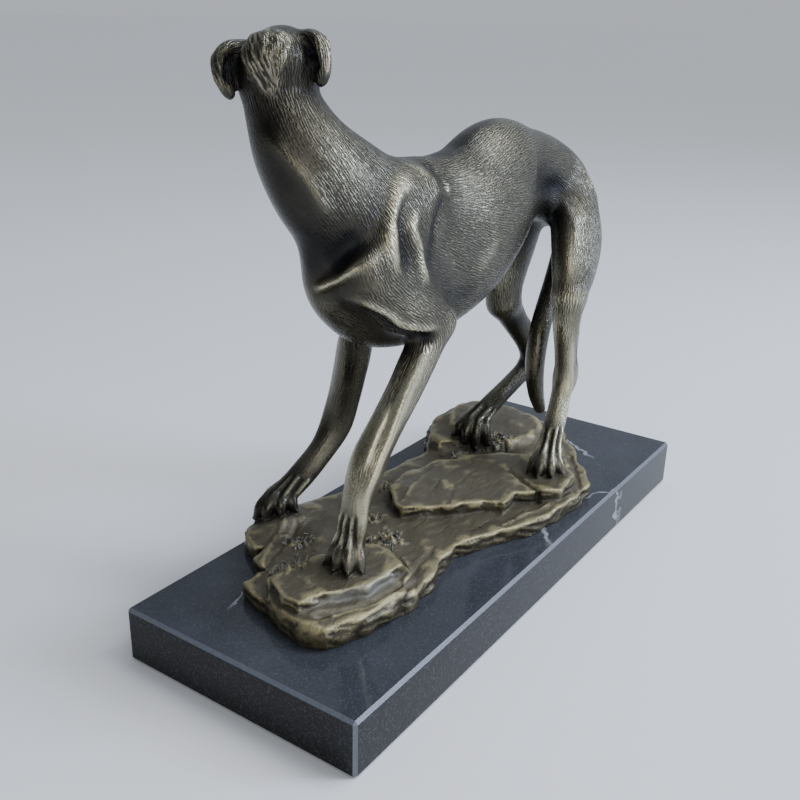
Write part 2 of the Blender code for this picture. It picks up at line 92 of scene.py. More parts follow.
class Clay:  # masses that join smoothly, and the lines that are then cut or raised on their skin
    def __init__(self):
        self.masses = []  # the hound
        self.slabs = []  # the rock
        self.lumps = []  # rounder parts of the rock
        self.lines = []

    def sweep(self, stations, blend=6.0, steps=6, side=(0, 1, 0), flow=1.0):
        # a limb through (x, y, z, half width, half depth); flow says which way its coat lies
        rows = curveThrough(stations, steps)
        ways = np.gradient(rows[:, :3], axis=0)
        ways /= np.linalg.norm(ways, axis=1)[:, None]
        side = np.asarray(side, float)
        self.masses.append({"rows": rows, "ways": ways, "blend": blend, "side": side, "flow": flow})

    def blob(self, centre, radii, blend=6.0, axis=(1, 0, 0), side=(0, 1, 0), rocky=False):
        ax = unit(axis)
        up = unit(np.cross(ax, side))
        sd = np.cross(up, ax)
        centre = np.asarray(centre, float)
        radii = np.asarray(radii, float)
        group = self.lumps if rocky else self.masses
        group.append({"centre": centre, "radii": radii, "turn": np.array([ax, sd, up]), "blend": blend})

    def slab(self, outline, top, slope=(0.0, 0.0), bottom=-6.0, edge=1.5, blend=2.5, bulge=0.0):
        outline = np.asarray(outline, float)
        self.slabs.append({"outline": outline, "top": top, "slope": slope, "bottom": bottom,
                           "edge": edge, "blend": blend, "bulge": bulge})

    def line(self, points, width, height, steps=6, sharp=2.0):
        # a ridge along a curve, or a crease where the height is negative; sharp 1 gives it a keen crest
        rows = curveThrough(points, steps)
        self.lines.append({"rows": rows, "width": width, "height": height, "sharp": sharp})


def outlineDistance(outline, x, y):  # below zero inside the outline
    best = np.full(len(x), drawn["far"])
    inside = np.zeros(len(x), bool)
    for (ax, ay), (bx, by) in zip(outline, np.roll(outline, -1, axis=0)):
        ex, ey = bx - ax, by - ay
        t = np.clip(((x - ax) * ex + (y - ay) * ey) / (ex * ex + ey * ey), 0.0, 1.0)
        best = np.minimum(best, np.hypot(x - ax - t * ex, y - ay - t * ey))
        crosses = (ay > y) != (by > y)
        inside ^= crosses & (x < (bx - ax) * (y - ay) / (by - ay + 1e-9) + ax)
    return np.where(inside, -best, best)


def slabDistance(slab, points):
    x, y, z = points.T
    side = outlineDistance(slab["outline"], x, y) + slab["edge"]
    top = slab["top"] + x * slab["slope"][0] + y * slab["slope"][1]
    side = side - slab["bulge"] * (1.0 - ((z - 0.45 * top) / (0.6 * top)) ** 2)
    rise = np.maximum(z - top, slab["bottom"] - z) + slab["edge"]
    outer = np.hypot(np.maximum(side, 0.0), np.maximum(rise, 0.0))
    return outer + np.minimum(np.maximum(side, rise), 0.0) - slab["edge"]


def rockDistance(clay, points):
    d = np.full(len(points), drawn["far"])
    for slab in clay.slabs:
        d = smoothMin(d, slabDistance(slab, points), slab["blend"])
    for lump in clay.lumps:
        near, own, _ = massDistance(lump, points, drawn["reach"])
        d[near] = smoothMin(d[near], own, lump["blend"])
    for height, wave, squash, seed in rock["swells"]:
        d = d - height * ripple(points * (1, 1, squash), wave, seed)
    return d


def rockTop(clay, spots):  # these places from above, let down onto the rock
    places = np.column_stack([np.asarray(spots, float)[:, :2], np.full(len(spots), rock["above"])])
    for _ in range(30):
        places[:, 2] -= 0.8 * rockDistance(clay, places)
    return places


def ellipsoidDistance(q, radii):
    k0 = np.sqrt(((q / radii) ** 2).sum(-1))
    k1 = np.sqrt(((q / radii**2) ** 2).sum(-1)) + 1e-9
    return k0 * (k0 - 1.0) / k1


def massDistance(mass, points, reach):  # the points near one mass, their distances, and the way along it
    if "centre" in mass:
        far = mass["radii"].max() + reach
        near = np.nonzero((np.abs(points - mass["centre"]) < far).all(1))[0]
        q = (points[near] - mass["centre"]) @ mass["turn"].T
        return near, ellipsoidDistance(q, mass["radii"]), None
    rows = mass["rows"]
    far = rows[:, 3:5].max() + reach
    low = rows[:, :3].min(0) - far
    high = rows[:, :3].max(0) + far
    near = np.nonzero(((points > low) & (points < high)).all(1))[0]
    local = points[near]
    out = np.full(len(near), drawn["far"])
    along = np.zeros((len(near), 3))
    for first, second, way0, way1 in zip(rows[:-1], rows[1:], mass["ways"][:-1], mass["ways"][1:]):
        far = max(first[3:5].max(), second[3:5].max()) + reach
        low = np.minimum(first[:3], second[:3]) - far
        high = np.maximum(first[:3], second[:3]) + far
        here = np.nonzero(((local > low) & (local < high)).all(1))[0]
        if not len(here):
            continue
        step = second[:3] - first[:3]
        a = local[here] - first[:3]
        t = np.clip(a @ step / (step @ step), 0.0, 1.0)[:, None]
        q = a - t * step
        ax = way0 + t * (way1 - way0)
        ax /= np.linalg.norm(ax, axis=1)[:, None]
        up = np.cross(ax, mass["side"])
        up /= np.linalg.norm(up, axis=1)[:, None]
        sd = np.cross(up, ax)
        size = first[3:5] + t * (second[3:5] - first[3:5])
        turned = np.stack([(q * ax).sum(1), (q * sd).sum(1), (q * up).sum(1)], -1)
        radii = np.stack([size.min(1), size[:, 0], size[:, 1]], -1)
        own = ellipsoidDistance(turned, radii)
        better = own < out[here]
        out[here[better]] = own[better]
        along[here[better]] = ax[better] * mass["flow"]
    return near, out, along


def bodyDistance(clay, points, reach=None):
    d = np.full(len(points), drawn["far"])
    for mass in clay.masses:
        near, own, _ = massDistance(mass, points, reach or drawn["reach"])
        d[near] = smoothMin(d[near], own, mass["blend"])
    return d


def field(clay, points, reach=None):
    d = bodyDistance(clay, points, reach)
    low = np.nonzero(points[:, 2] < drawn["rockReach"])[0]
    d[low] = smoothMin(d[low], rockDistance(clay, points[low]), 1.2)
    return d


def onSkin(clay, points):  # the points moved to the nearest place on the skin
    points = np.array(points, float)
    for _ in range(5):
        d = field(clay, points)
        slope = np.stack([field(clay, points + step) - d for step in np.eye(3) * 0.4], -1) / 0.4
        slope /= np.linalg.norm(slope, axis=1)[:, None] + 1e-9
        points = points - np.clip(d, -6.0, 6.0)[:, None] * slope
    return points


# Where the head is, the way the muzzle points, and the crown. The masses are forward, left and up from
# its centre: balls with radii and blend, limbs with half width and half depth
head = {
    "centre": (-110.0, 26.5, 253.5), "forward": (0.85, 0.53, -0.08), "up": (-0.05, 0.15, 1.0),
    "skull": [((-2, -1.2, -1), (19, 15.5, 13.2), 6), ((-2, -5, 1), (17, 10.5, 11.2), 6),
              ((-16, 0, 3), (6, 8, 7), 6), ((13, 0, -0.5), (15, 12.5, 11), 5)],
    "muzzle": [(8, 0, -4, 12, 11), (22, 0, -6, 10, 10.5), (36, 0, -8.5, 7.8, 8.6),
               (49, 0, -10.2, 6.4, 7.2), (58, 0, -11, 5.4, 6)],
    "nose": ((61.5, 0, -7.8), (4, 4.4, 3.6), 1.5),
    "pairs": [((3, 11, -7), (13, 6, 9), 5), ((20.5, 9.4, 3.0), (5.0, 3.2, 3.4), 2),
              ((20.8, 11.2, 2.0), (3.2, 2.0, 2.2), 0.4)],  # cheek, brow and eyeball, on both sides
    "ear": [(-3, 12, 6, 6, 4), (-5, 17, 6.5, 6.5, 3.8), (-8, 20.5, 3.5, 6.5, 3.8),
            (-9, 21, -2.5, 6.2, 3.9), (-10, 20.5, -8, 4.4, 3.4), (-10.5, 19.5, -11.5, 2.2, 2.4)],
}


def headWays():
    forward = unit(head["forward"])
    left = unit(np.cross(head["up"], forward))
    return np.array([forward, left, np.cross(forward, left)])


def atHead(local):
    return np.asarray(head["centre"]) + np.asarray(local, float) @ headWays()


def headRow(row):
    return (*atHead(row[:3]), *row[3:])


hound = {
    "trunk": [
        (-100, 8, 168, 10, 15), (-88, 7, 165, 19, 30.5), (-70, 6, 163.5, 25, 42.5), (-46, 4, 162, 27, 47),
        (-22, 3, 162, 28, 46), (2, 1, 167, 28, 44), (26, 0, 177, 25, 40.5), (46, 0, 185, 21.5, 34),
        (66, 0, 187.5, 19.5, 28), (90, 0, 184, 20.5, 25.5), (113, 0, 176, 21, 23), (131, -1, 165, 15, 18),
    ],
    "neck": [
        (-64, 4, 178, 25, 30), (-82, 6, 189, 24, 30), (-97, 10, 202, 22.5, 27),
        (-106, 15.5, 216, 21, 21.8), (-110, 20.5, 230, 18, 17.4), (-111.5, 25, 243, 15.5, 14.6),
    ],
    "leftFore": {
        "blade": (-54, -11, 194), "shoulder": (-95, -12, 163), "elbow": (-50, -22, 133),
        "arm": [
            (-64, -21, 118, 9.0, 9.2), (-75, -20, 104, 8.6, 8.8), (-87, -18, 89, 8.4, 8.5),
            (-95, -15, 75, 8.8, 9.2), (-99, -14, 65, 8.8, 9.2), (-104, -13, 52, 7.2, 7.0),
            (-105, -12, 40, 7.4, 6.8),
        ],
        "foot": (-104.5, -10.5, 29, 7.2, 6.2),
        "toes": [(-112.5, -3.5), (-114.5, -9.5), (-114, -16), (-109, -19.5)],
    },
    "rightFore": {
        "blade": (-54, 16, 194), "shoulder": (-80, 17, 160), "elbow": (-46, 29, 130),
        "arm": [
            (-41, 36, 105, 9.0, 10), (-39, 41, 88, 8.8, 9.4), (-38, 46, 71, 8.6, 9.0),
            (-40, 50, 56, 8.8, 9.0), (-49, 53, 43, 7.6, 7.4), (-62, 57, 31, 7.8, 6.8),
        ],
        "foot": (-75, 60, 22.5, 7.8, 6.2),
        "toes": [(-88, 67.5), (-88, 61), (-82.5, 55.5), (-75.5, 52.5)],
    },
    "leftHind": {
        "thigh": [(110, -17, 170, 12, 20), (99, -24, 153, 13.5, 27), (86, -30, 136, 12, 21),
                  (77, -33, 122, 9.5, 13)],
        "shin": [(74, -34, 120, 9, 10), (76, -33, 104, 8, 9.5), (80, -32, 87, 6.6, 7.5)],
        "hock": (85, -31, 67), "foot": (58, -36, 25, 7.0, 6.0),
        "toes": [(48, -31), (46, -37.5), (49.5, -43.5), (56, -46.5)],
    },
    "rightHind": {
        "thigh": [(110, 17, 170, 12, 20), (104, 21, 150, 13.5, 26), (96, 21, 124, 12, 19),
                  (93, 20, 104, 9.5, 12)],
        "shin": [(94, 20, 104, 9, 11), (106, 18, 90, 8, 9.5), (118, 14, 72, 6.6, 7.6)],
        "hock": (125, 12, 56), "foot": (75, 25, 27, 7.2, 6.0),
        "toes": [(65, 33), (64, 26), (67.5, 19.5), (74, 15.5)],
    },
    "tail": [
        (124, 0, 180, 8, 9), (135, -1, 165, 7, 8), (131, -2, 143, 6.5, 7), (118, -3, 118, 6.4, 6.8),
        (102, -4, 92, 6.6, 6.8), (95, -5, 68, 6.4, 6.6), (97, -6, 48, 5.4, 5.6), (103, -7, 34, 4.0, 4.2),
    ],
}


def modelHead(clay):
    forward, left, _ = headWays()

    def blob(centre, radii, blend):
        clay.blob(atHead(centre), radii, blend, axis=forward, side=left)

    for row in head["skull"]:
        blob(*row)
    clay.sweep([headRow(r) for r in head["muzzle"]], blend=4, side=left, flow=-1)
    blob(*head["nose"])
    for s in (1, -1):
        for (x, y, z), radii, blend in head["pairs"]:
            blob((x, s * y, z), radii, blend)
        clay.sweep([headRow((x, s * y, *rest)) for x, y, *rest in head["ear"]], blend=2, side=forward)


def modelFoot(clay, leg, above, size):  # long slim toes in line with the leg, each with its nail
    paw = np.asarray(leg["foot"][:3])
    leg["up"] = unit(np.asarray(above[:3]) - paw)
    leg["tips"] = rockTop(clay, leg["toes"]) + (0, 0, 0.75 * size)
    for tip in leg["tips"]:
        out = (tip - paw) * (1, 1, 0)
        across = unit(np.cross((0, 0, 1), out))
        fall = paw[2] - tip[2]
        rows = [(*(paw + 0.3 * out + leg["up"] * 11), size * 0.7, size * 0.7),
                (*(paw + 0.55 * out + leg["up"] * 3), size * 0.86, size * 0.86),
                (*(paw + 0.85 * out - (0, 0, 0.4 * fall)), size * 0.92, size * 0.96),
                (*tip, size * 0.76, size * 0.8)]
        clay.sweep(rows, blend=0.8, steps=4, side=across)
        nail = tip + unit(out) * (0.6 * size + 0.8) - (0, 0, 0.3 * size)
        clay.sweep([(*tip, 1.5, 1.7), (*nail, 1.0, 1.1)], blend=0.4, steps=2, side=across)


def modelForeleg(clay, leg):
    blade, shoulder, elbow = (np.asarray(leg[name]) for name in ("blade", "shoulder", "elbow"))
    clay.sweep([(*blade, 8, 13), (*(0.5 * (blade + shoulder)), 10, 15), (*shoulder, 9, 10)], blend=12)
    upper = [(*shoulder, 8.5, 10), (*(0.5 * (shoulder + elbow)), 11.5, 15.5), (*elbow, 8, 10)]
    clay.sweep(upper, blend=10)
    clay.sweep([(*elbow, 8, 9), *leg["arm"], leg["foot"]], blend=5)
    modelFoot(clay, leg, leg["arm"][-1], 3.6)


def modelHindleg(clay, leg):
    clay.sweep(leg["thigh"], blend=9)
    hock, paw, knee = np.asarray(leg["hock"]), np.asarray(leg["foot"][:3]), np.asarray(leg["shin"][0][:3])
    clay.sweep([*leg["shin"], (*hock, 6.2, 7.0)], blend=6)
    heel = hock + np.array((6.0, 0, 4.5))
    calf = knee + 0.5 * (hock - knee) + np.array((6, 0, 3))
    tendon = 0.5 * (calf + heel) + np.array((0.5, 0, 0))
    clay.sweep([(*calf, 4.5, 5), (*tendon, 3.6, 3.8), (*heel, 4.2, 4.5)], blend=5)
    clay.sweep([(*heel, 4.4, 4.6), (*(hock + np.array((2, 0, -5))), 5, 6)], blend=4)
    past = paw - hock
    shank = [(*hock, 6.2, 7.0), (*(hock + 0.35 * past), 6.0, 6.4), (*(hock + 0.75 * past), 6.6, 6.4)]
    clay.sweep([*shank, leg["foot"]], blend=5)
    modelFoot(clay, leg, shank[-1], 3.5)


# Folds and veins of the skin: points, width and height; the flank ones go on both sides
carving = {
    "both": [
        ([(-62, -14, 208), (-74, -18, 203), (-82, -20, 197), (-88.5, -21.5, 188), (-90.5, -23, 178),
          (-90.5, -25, 170), (-87, -27, 160)], 4.2, 2.7),
        ([(-69, -23, 194), (-75, -24, 187), (-77, -24, 183), (-73, -25, 174), (-71, -25, 168),
          (-68, -27, 160), (-67, -28, 154)], 3.0, 2.0),
        ([(-33, -15, 198), (-39, -18, 194)], 2.4, 1.0),
        ([(-72, -20, 203), (-84, -22, 190), (-84, -24, 176), (-80, -26, 160)], 3.0, -1.3),
        ([(-43, -18, 194), (-54, -22, 188), (-61, -23, 176), (-58, -27, 160)], 3.4, -1.5),
        ([(-35, -2, 209), (-37, -7, 205), (-41, -13, 200)], 1.6, -0.8),
        ([(-40, -2, 209), (-42, -8, 205), (-46, -13, 200)], 1.6, -0.7),
        ([(46, -18, 193), (66, -18, 187), (84, -20, 180)], 8.0, -2.4),
        ([(56, -19, 182), (74, -18, 183), (88, -21, 179)], 4.5, -1.4),
        ([(98, -18, 197), (110, -22, 188), (106, -28, 176)], 6.0, 1.2),
        ([(88, -25, 176), (78, -31, 158), (72, -34, 142), (69, -37, 128)], 5.0, 0.8),
        ([(-55, -27, 151), (-33, -27, 141), (-14, -27, 140)], 5.0, -0.9),
        ([(-24, -27, 149), (-9, -27, 160), (0, -27, 172)], 5.0, 0.7),
    ],
    "left": [
        ([(-111, 9, 155), (-109.5, -2, 161), (-107, -9, 165), (-102, -15, 169)], 2.4, 2.4),
        ([(-107, -8, 165), (-101, -16, 171), (-94, -21, 180), (-90, -22, 190)], 5.0, 2.2),
        ([(-109, 2, 167), (-107, -4, 172), (-104, -9, 178), (-100, -12, 184)], 5.4, -1.5),
        ([(-108, -4, 155), (-102, -15, 153), (-94, -19, 148), (-83, -23, 139), (-76, -26, 136),
          (-66, -29, 134), (-56, -30, 135)], 2.4, 1.7),
        ([(-104, -12, 148), (-96, -17, 143), (-86, -20, 135), (-78, -24, 131), (-68, -28, 129),
          (-60, -30, 130)], 2.4, -2.4),
        ([(-130, 18, 230), (-127, 10, 220), (-122, 2, 210), (-116, -3, 198), (-110, -6, 186)], 3.6, 1.3),
        ([(-61, -30, 133), (-73, -27, 118), (-84, -26, 104), (-94, -25, 86), (-101, -23, 72),
          (-107, -21, 58), (-107, -19, 41), (-111, -17, 28)], 2.6, 2.4),
        ([(-68, -23, 126), (-78, -22, 114), (-92, -21, 95), (-101, -19, 79), (-109, -16, 63)], 1.8, -0.4),
        ([(-86, -22, 105), (-97, -19, 85), (-104, -17, 70)], 1.3, 1.0),
        ([(71, -40, 103), (78, -37, 81), (80, -37, 65), (74, -39, 50), (64, -40, 32)], 1.8, 1.0),
        ([(86, -39, 96), (86, -38, 84), (88, -36, 74)], 1.8, -1.0),
    ],
    "right": [
        ([(-48, 38, 128), (-45, 44, 105), (-43, 49, 86), (-43, 53, 66), (-52, 58, 46)], 1.8, 1.0),
        ([(-52, 30, 122), (-48, 34, 100), (-46, 38, 80)], 1.8, -0.8),
        ([(104, 28, 92), (114, 23, 78), (124, 18, 62), (112, 20, 48), (92, 27, 34)], 1.8, 0.9),
    ],
}


def carveLegCords(clay, leg, lift):  # tendons down to each toe, with hollows between them
    paw = np.asarray(leg["foot"][:3])
    cords = []
    for tip in leg["tips"]:
        out = (tip - paw) * (1, 1, 0)
        high, middle = leg["up"] * lift, leg["up"] * 0.5 * lift
        cords.append([paw + 0.35 * out + high, paw + 0.5 * out + middle, paw + 0.8 * out])
    for cord in cords:
        clay.line(cord, 1.3, 0.9)
    for first, second in zip(cords[:-1], cords[1:]):
        clay.line([0.5 * (a + b) for a, b in zip(first, second)], 1.0, -0.9)


tuft = {  # the coarse hair on the back of the skull: its outline in left and up from the head's centre
    "outline": [(9.6, 3.0), (6.3, 8.5), (1.8, 10.5), (-7.3, 8.5), (-10, 4), (-7.3, -0.8), (-5, -6.4),
                (-4.9, -10.3), (0.5, -15.5), (4.7, -12.6), (6.4, -7.7), (10.7, -5.9)],
    "lip": 0.9, "locks": 15,
}


def tuftShare(points):  # 1 in the tuft, falling to 0 over its edge
    local = (points - np.asarray(head["centre"])) @ headWays().T
    share = np.clip(0.5 - outlineDistance(tuft["outline"], local[:, 1], local[:, 2]) / 1.8, 0, 1)
    return share * (local[:, 0] < 0) * (np.abs(local).max(1) < 30)


def carveTuft(clay):  # coarse locks on the back of the skull, running together to a point on the nape
    rng = np.random.default_rng(11)
    for k in range(tuft["locks"]):
        s = 2 * k / (tuft["locks"] - 1) - 1
        wave = rng.uniform(-0.9, 0.9, 3)
        lock = [(-13, 10 * s + wave[0], 9.5 - 2 * abs(s)), (-16, 9.5 * s + wave[1], 5),
                (-18, 1 + 7 * s + wave[2], 0), (-19, 1.5 + 5.5 * s - wave[0], -6), (-18, 1 + 3.5 * s, -11),
                (-17, 0.5 + 1.4 * s, -15.5)]
        clay.line([atHead(p) for p in lock], 0.8, 0.4 + 0.3 * rng.uniform(), sharp=1.3)


# Lines of the face and the ears on both sides of the head: points, width and height
face = [
    ([(17.5, 11, 2.6), (20.5, 12, 4.2), (24.2, 10.5, 2.2)], 0.7, 0.5),
    ([(17.8, 11.4, 1.2), (21, 12.2, 0.0), (24.4, 10.6, 1.2)], 0.6, 0.45),
    ([(26, 9.8, 0.6), (31, 7.8, -3), (38, 6, -5)], 1.4, -0.7),
    ([(26, 10, -9.5), (38, 8, -12), (50, 6.6, -13.4), (58, 4.5, -13)], 0.8, -0.9),
    ([(61.5, 3.6, -7.4), (63.4, 3.4, -8.4), (63.8, 2.2, -8.8)], 0.8, -1.1),
    ([(-6, 22.5, 7.5), (-10.5, 24, 2), (-12.5, 23.5, -4), (-13, 21.5, -10)], 1.3, 0.9),
    ([(-10, 17.5, 3), (-13, 18.2, -2), (-13.5, 18.4, -8)], 1.8, -2.4),
]


def carveFace(clay):
    for s in (1, -1):
        for points, width, height in face:
            clay.line([atHead((x, s * y, z)) for x, y, z in points], width, height)
    noseSplit = ((64.5, 0, -9), (63.5, 0, -12), (60, 0, -14.5))
    clay.line([atHead(p) for p in noseSplit], 0.6, -0.6)


# The rock: outlines seen from above, then how the slabs and lumps are stacked, and its broken skin
rock = {
    "ground": [
        (-119, -34), (-101, -43), (-76, -41), (-64, -37), (-43, -34), (-22, -42), (0, -54), (21, -59),
        (55, -62), (70, -60), (84, -52), (94, -41), (112, -31), (122, -19), (137, -10), (142, 12),
        (143, 32), (136, 50), (118, 61), (90, 64), (70, 60), (58, 48), (40, 46), (8, 49), (-10, 49),
        (-36, 54), (-55, 62), (-78, 68), (-97, 68), (-105, 62), (-110, 51), (-106, 46), (-119, 42),
        (-122, 32), (-138, 31), (-144, 20), (-146, 4), (-140, -18),
    ],
    "frontBlock": [
        (-148, -30), (-152, -18), (-149, -5), (-143, 10), (-132, 20), (-112, 18), (-88, 4), (-78, -16),
        (-84, -32), (-104, -40), (-128, -37),
    ],
    "frontShelf": [
        (-140, 13), (-147, -2), (-147, -12), (-134, -16), (-116, -29), (-88, -31), (-81, -20), (-81, -8),
        (-92, 4), (-110, 8), (-127, 11),
    ],
    "rearShelf": [
        (-20, 26), (-34, 14), (-37, 6), (-20, -13), (-2, -27), (3, -38), (18, -36), (28, -46), (38, -56),
        (62, -54), (73, -40), (71, -19), (62, -2), (47, 12), (23, 26), (0, 31),
    ],
    "mound": [
        (68, 57), (56, 48), (52, 38), (60, 30), (72, 18), (84, 4), (104, -4), (122, -2), (134, 10),
        (138, 30), (132, 48), (116, 58), (90, 61),
    ],
    # slabs: outline, height, and the rounding of the edge, its blend, slope and bulge
    "slabs": [("ground", 8.5, {"edge": 1.0}), ("frontBlock", 12.0, {"bulge": 2.0, "edge": 1.0, "blend": 1.8}),
              ("frontShelf", 18.0, {"edge": 0.6, "blend": 0.8}),
              ("rearShelf", 15.5, {"edge": 0.6, "blend": 0.8}),
              ("mound", 14.0, {"slope": (0.0, 0.06), "edge": 4.5, "blend": 6.0})],
    "lumps": [((98, 46, 6), (36, 18, 15)), ((-78, 56, 4), (24, 11, 10))],
    "above": 40.0,
    # unevenness: height, length of a wave, squash and seed
    "swells": ((0.8, 26.0, 2.2, 3), (0.2, 9.0, 2.6, 5)),
    "bedHeight": 4.6, "bedDepth": 1.5,
    "sideRough": ((0.7, 15.0, (1, 1, 1.5), 31), (0.12, 4.0, (1, 1, 1.6), 33)),
    "topRough": (0.1, 12.0, (0.4, 1.6, 1), 41),
    "cutFace": [(-143, -19, 14.5), (-130, -22, 14.5), (-117, -30, 15), (-100, -32, 15)],  # pale broken face
    # grass tufts: place, how far they spread and how many blades
    "tufts": [((-60, -2), 10, 60), ((-120, 18), 11, 60), ((-12, 37), 8, 34), ((-92, 34), 8, 30),
              ((80, 12), 10, 50), ((52, 22), 9, 34), ((-48, 20), 7, 24)],
    # cracks and steps: points from above, width and height
    "cracks": [
        ([(28, -46), (34, -34), (40, -26), (43, -18)], 1.6, -1.9),
        ([(-16, -12), (4, -4), (30, -2)], 0.9, -0.6), ([(-10, 4), (14, 8), (38, 6)], 1.0, -0.6),
        ([(-30, 10), (-8, 16), (20, 20)], 1.0, 0.6), ([(-96, -33), (-70, -30), (-52, -26)], 1.4, -0.8),
        ([(-144, -20), (-120, -33), (-96, -36)], 1.8, -2.2),
        ([(-138, -26), (-116, -36), (-94, -41)], 1.6, 1.4), ([(-90, -36), (-80, -30), (-72, -20)], 1.4, 1.0),
        ([(-134, 26), (-118, 33), (-96, 40), (-80, 46)], 1.4, -0.9),
        ([(-128, 32), (-104, 44), (-84, 52)], 1.6, 0.9), ([(60, -58), (80, -46), (98, -34)], 1.6, -1.2),
        ([(84, -38), (104, -24), (118, -12)], 1.6, 1.0), ([(-8, -44), (24, -52), (50, -58)], 1.2, 0.8),
        ([(100, 30), (116, 38), (130, 40)], 2.0, -1.4), ([(76, 44), (92, 52), (112, 56)], 2.0, 1.2),
    ],
}


def modelRock(clay):
    for name, top, settings in rock["slabs"]:
        clay.slab(rock[name], top, **settings)
    for centre, radii in rock["lumps"]:
        clay.blob(centre, radii, rocky=True)


def modelHound():
    clay = Clay()
    modelRock(clay)
    clay.sweep(hound["trunk"], blend=8)
    clay.blob((34, 0, 202), (32, 15, 19), 10)
    clay.sweep(hound["neck"], blend=10, flow=-1)
    modelHead(clay)
    for name in ("leftFore", "rightFore"):
        modelForeleg(clay, hound[name])
    for name in ("leftHind", "rightHind"):
        modelHindleg(clay, hound[name])
    clay.sweep(hound["tail"], blend=4)
    for points, width, height in carving["both"]:
        clay.line(points, width, height)
        clay.line([(x, 4 - y, z) for x, y, z in points], width, height)
    for points, width, height in carving["left"] + carving["right"]:
        clay.line(points, width, height)
    for name, lift in (("leftFore", 22), ("rightFore", 16), ("leftHind", 20), ("rightHind", 14)):
        carveLegCords(clay, hound[name], lift)
    carveTuft(clay)
    carveFace(clay)
    return clay


mesh = {"voxel": 1.05, "coarse": 2.6, "triangles": 190000}


def roughShape(clay):  # the masses as overlapping balls and prisms, for the voxel remesh to fuse
    bm = bmesh.new()

    def ball(turn):
        matrix = Matrix([[*row] for row in turn] + [[0, 0, 0, 1]])
        bmesh.ops.create_icosphere(bm, subdivisions=2, radius=1.0, matrix=matrix)

    for mass in clay.masses + clay.lumps:
        if "centre" in mass:
            ball(np.column_stack([mass["turn"].T * mass["radii"], mass["centre"]]))
            continue
        for row, ax in zip(mass["rows"], mass["ways"]):
            up = unit(np.cross(ax, mass["side"]))
            sd = np.cross(up, ax)
            ball(np.column_stack([ax * min(row[3], row[4]), sd * row[3], up * row[4], row[:3]]))
    for slab in clay.slabs:
        floor = bm.faces.new([bm.verts.new((*p, slab["bottom"])) for p in slab["outline"]])
        grown = bmesh.ops.extrude_face_region(bm, geom=[floor])["geom"]
        for v in [g for g in grown if isinstance(g, bmesh.types.BMVert)]:
            v.co.z = slab["top"] + v.co.x * slab["slope"][0] + v.co.y * slab["slope"][1]
    bmesh.ops.recalc_face_normals(bm, faces=bm.faces[:])
    made = bpy.data.meshes.new("rough")
    bm.to_mesh(made)
    bm.free()
    return made


def evaluated(made, *modifiers):  # the mesh after these modifiers, each a type and its settings
    holder = bpy.data.objects.new("holder", made)
    bpy.context.collection.objects.link(holder)
    for kind, settings in modifiers:
        modifier = holder.modifiers.new(kind.lower(), kind)
        for name, value in settings.items():
            setattr(modifier, name, value)
    bpy.context.view_layer.update()
    graph = bpy.context.evaluated_depsgraph_get()
    out = bpy.data.meshes.new_from_object(holder.evaluated_get(graph))
    bpy.data.objects.remove(holder)
    return out


def readPoints(made, name="co"):
    values = np.empty(len(made.vertices) * 3)
    made.vertices.foreach_get(name, values)
    return values.reshape(-1, 3)


def writePoints(made, points):
    made.vertices.foreach_set("co", points.ravel())
    made.update()


def pullToSkin(made, clay, rounds):
    for _ in range(rounds):
        points = readPoints(made)
        step = 0.8 * np.clip(field(clay, points), -1.5, 1.5)
        writePoints(made, points - step[:, None] * readPoints(made, "normal"))


def carveLines(made, clay):  # raises and sinks the skin along the lines
    points = readPoints(made)
    rise, crest = np.zeros(len(points)), np.zeros(len(points))
    counts = [len(line["rows"]) for line in clay.lines]
    placed = np.split(onSkin(clay, np.vstack([line["rows"] for line in clay.lines])), np.cumsum(counts)[:-1])
    for line, rows in zip(clay.lines, placed):
        reach = 3.0 * line["width"]
        low, high = rows.min(0) - reach, rows.max(0) + reach
        near = np.nonzero(((points > low) & (points < high)).all(1))[0]
        away = np.full(len(near), drawn["far"])
        share = np.zeros(len(near))
        for i, (first, second) in enumerate(zip(rows[:-1], rows[1:])):
            own, t = toSegment(points[near], first, second)
            better = own < away
            away[better] = own[better]
            share[better] = (i + t[better]) / (len(rows) - 1)
        taper = np.clip(4.0 * np.minimum(share, 1.0 - share), 0.0, 1.0)  # the ends run out
        taper = taper * taper * (3.0 - 2.0 * taper)
        shape = taper * np.exp(-((away / line["width"]) ** line["sharp"]))
        rise[near] += line["height"] * shape
        crest[near] += line["height"] / line["width"] * shape
    return rise, np.clip(crest, -0.5, 1)


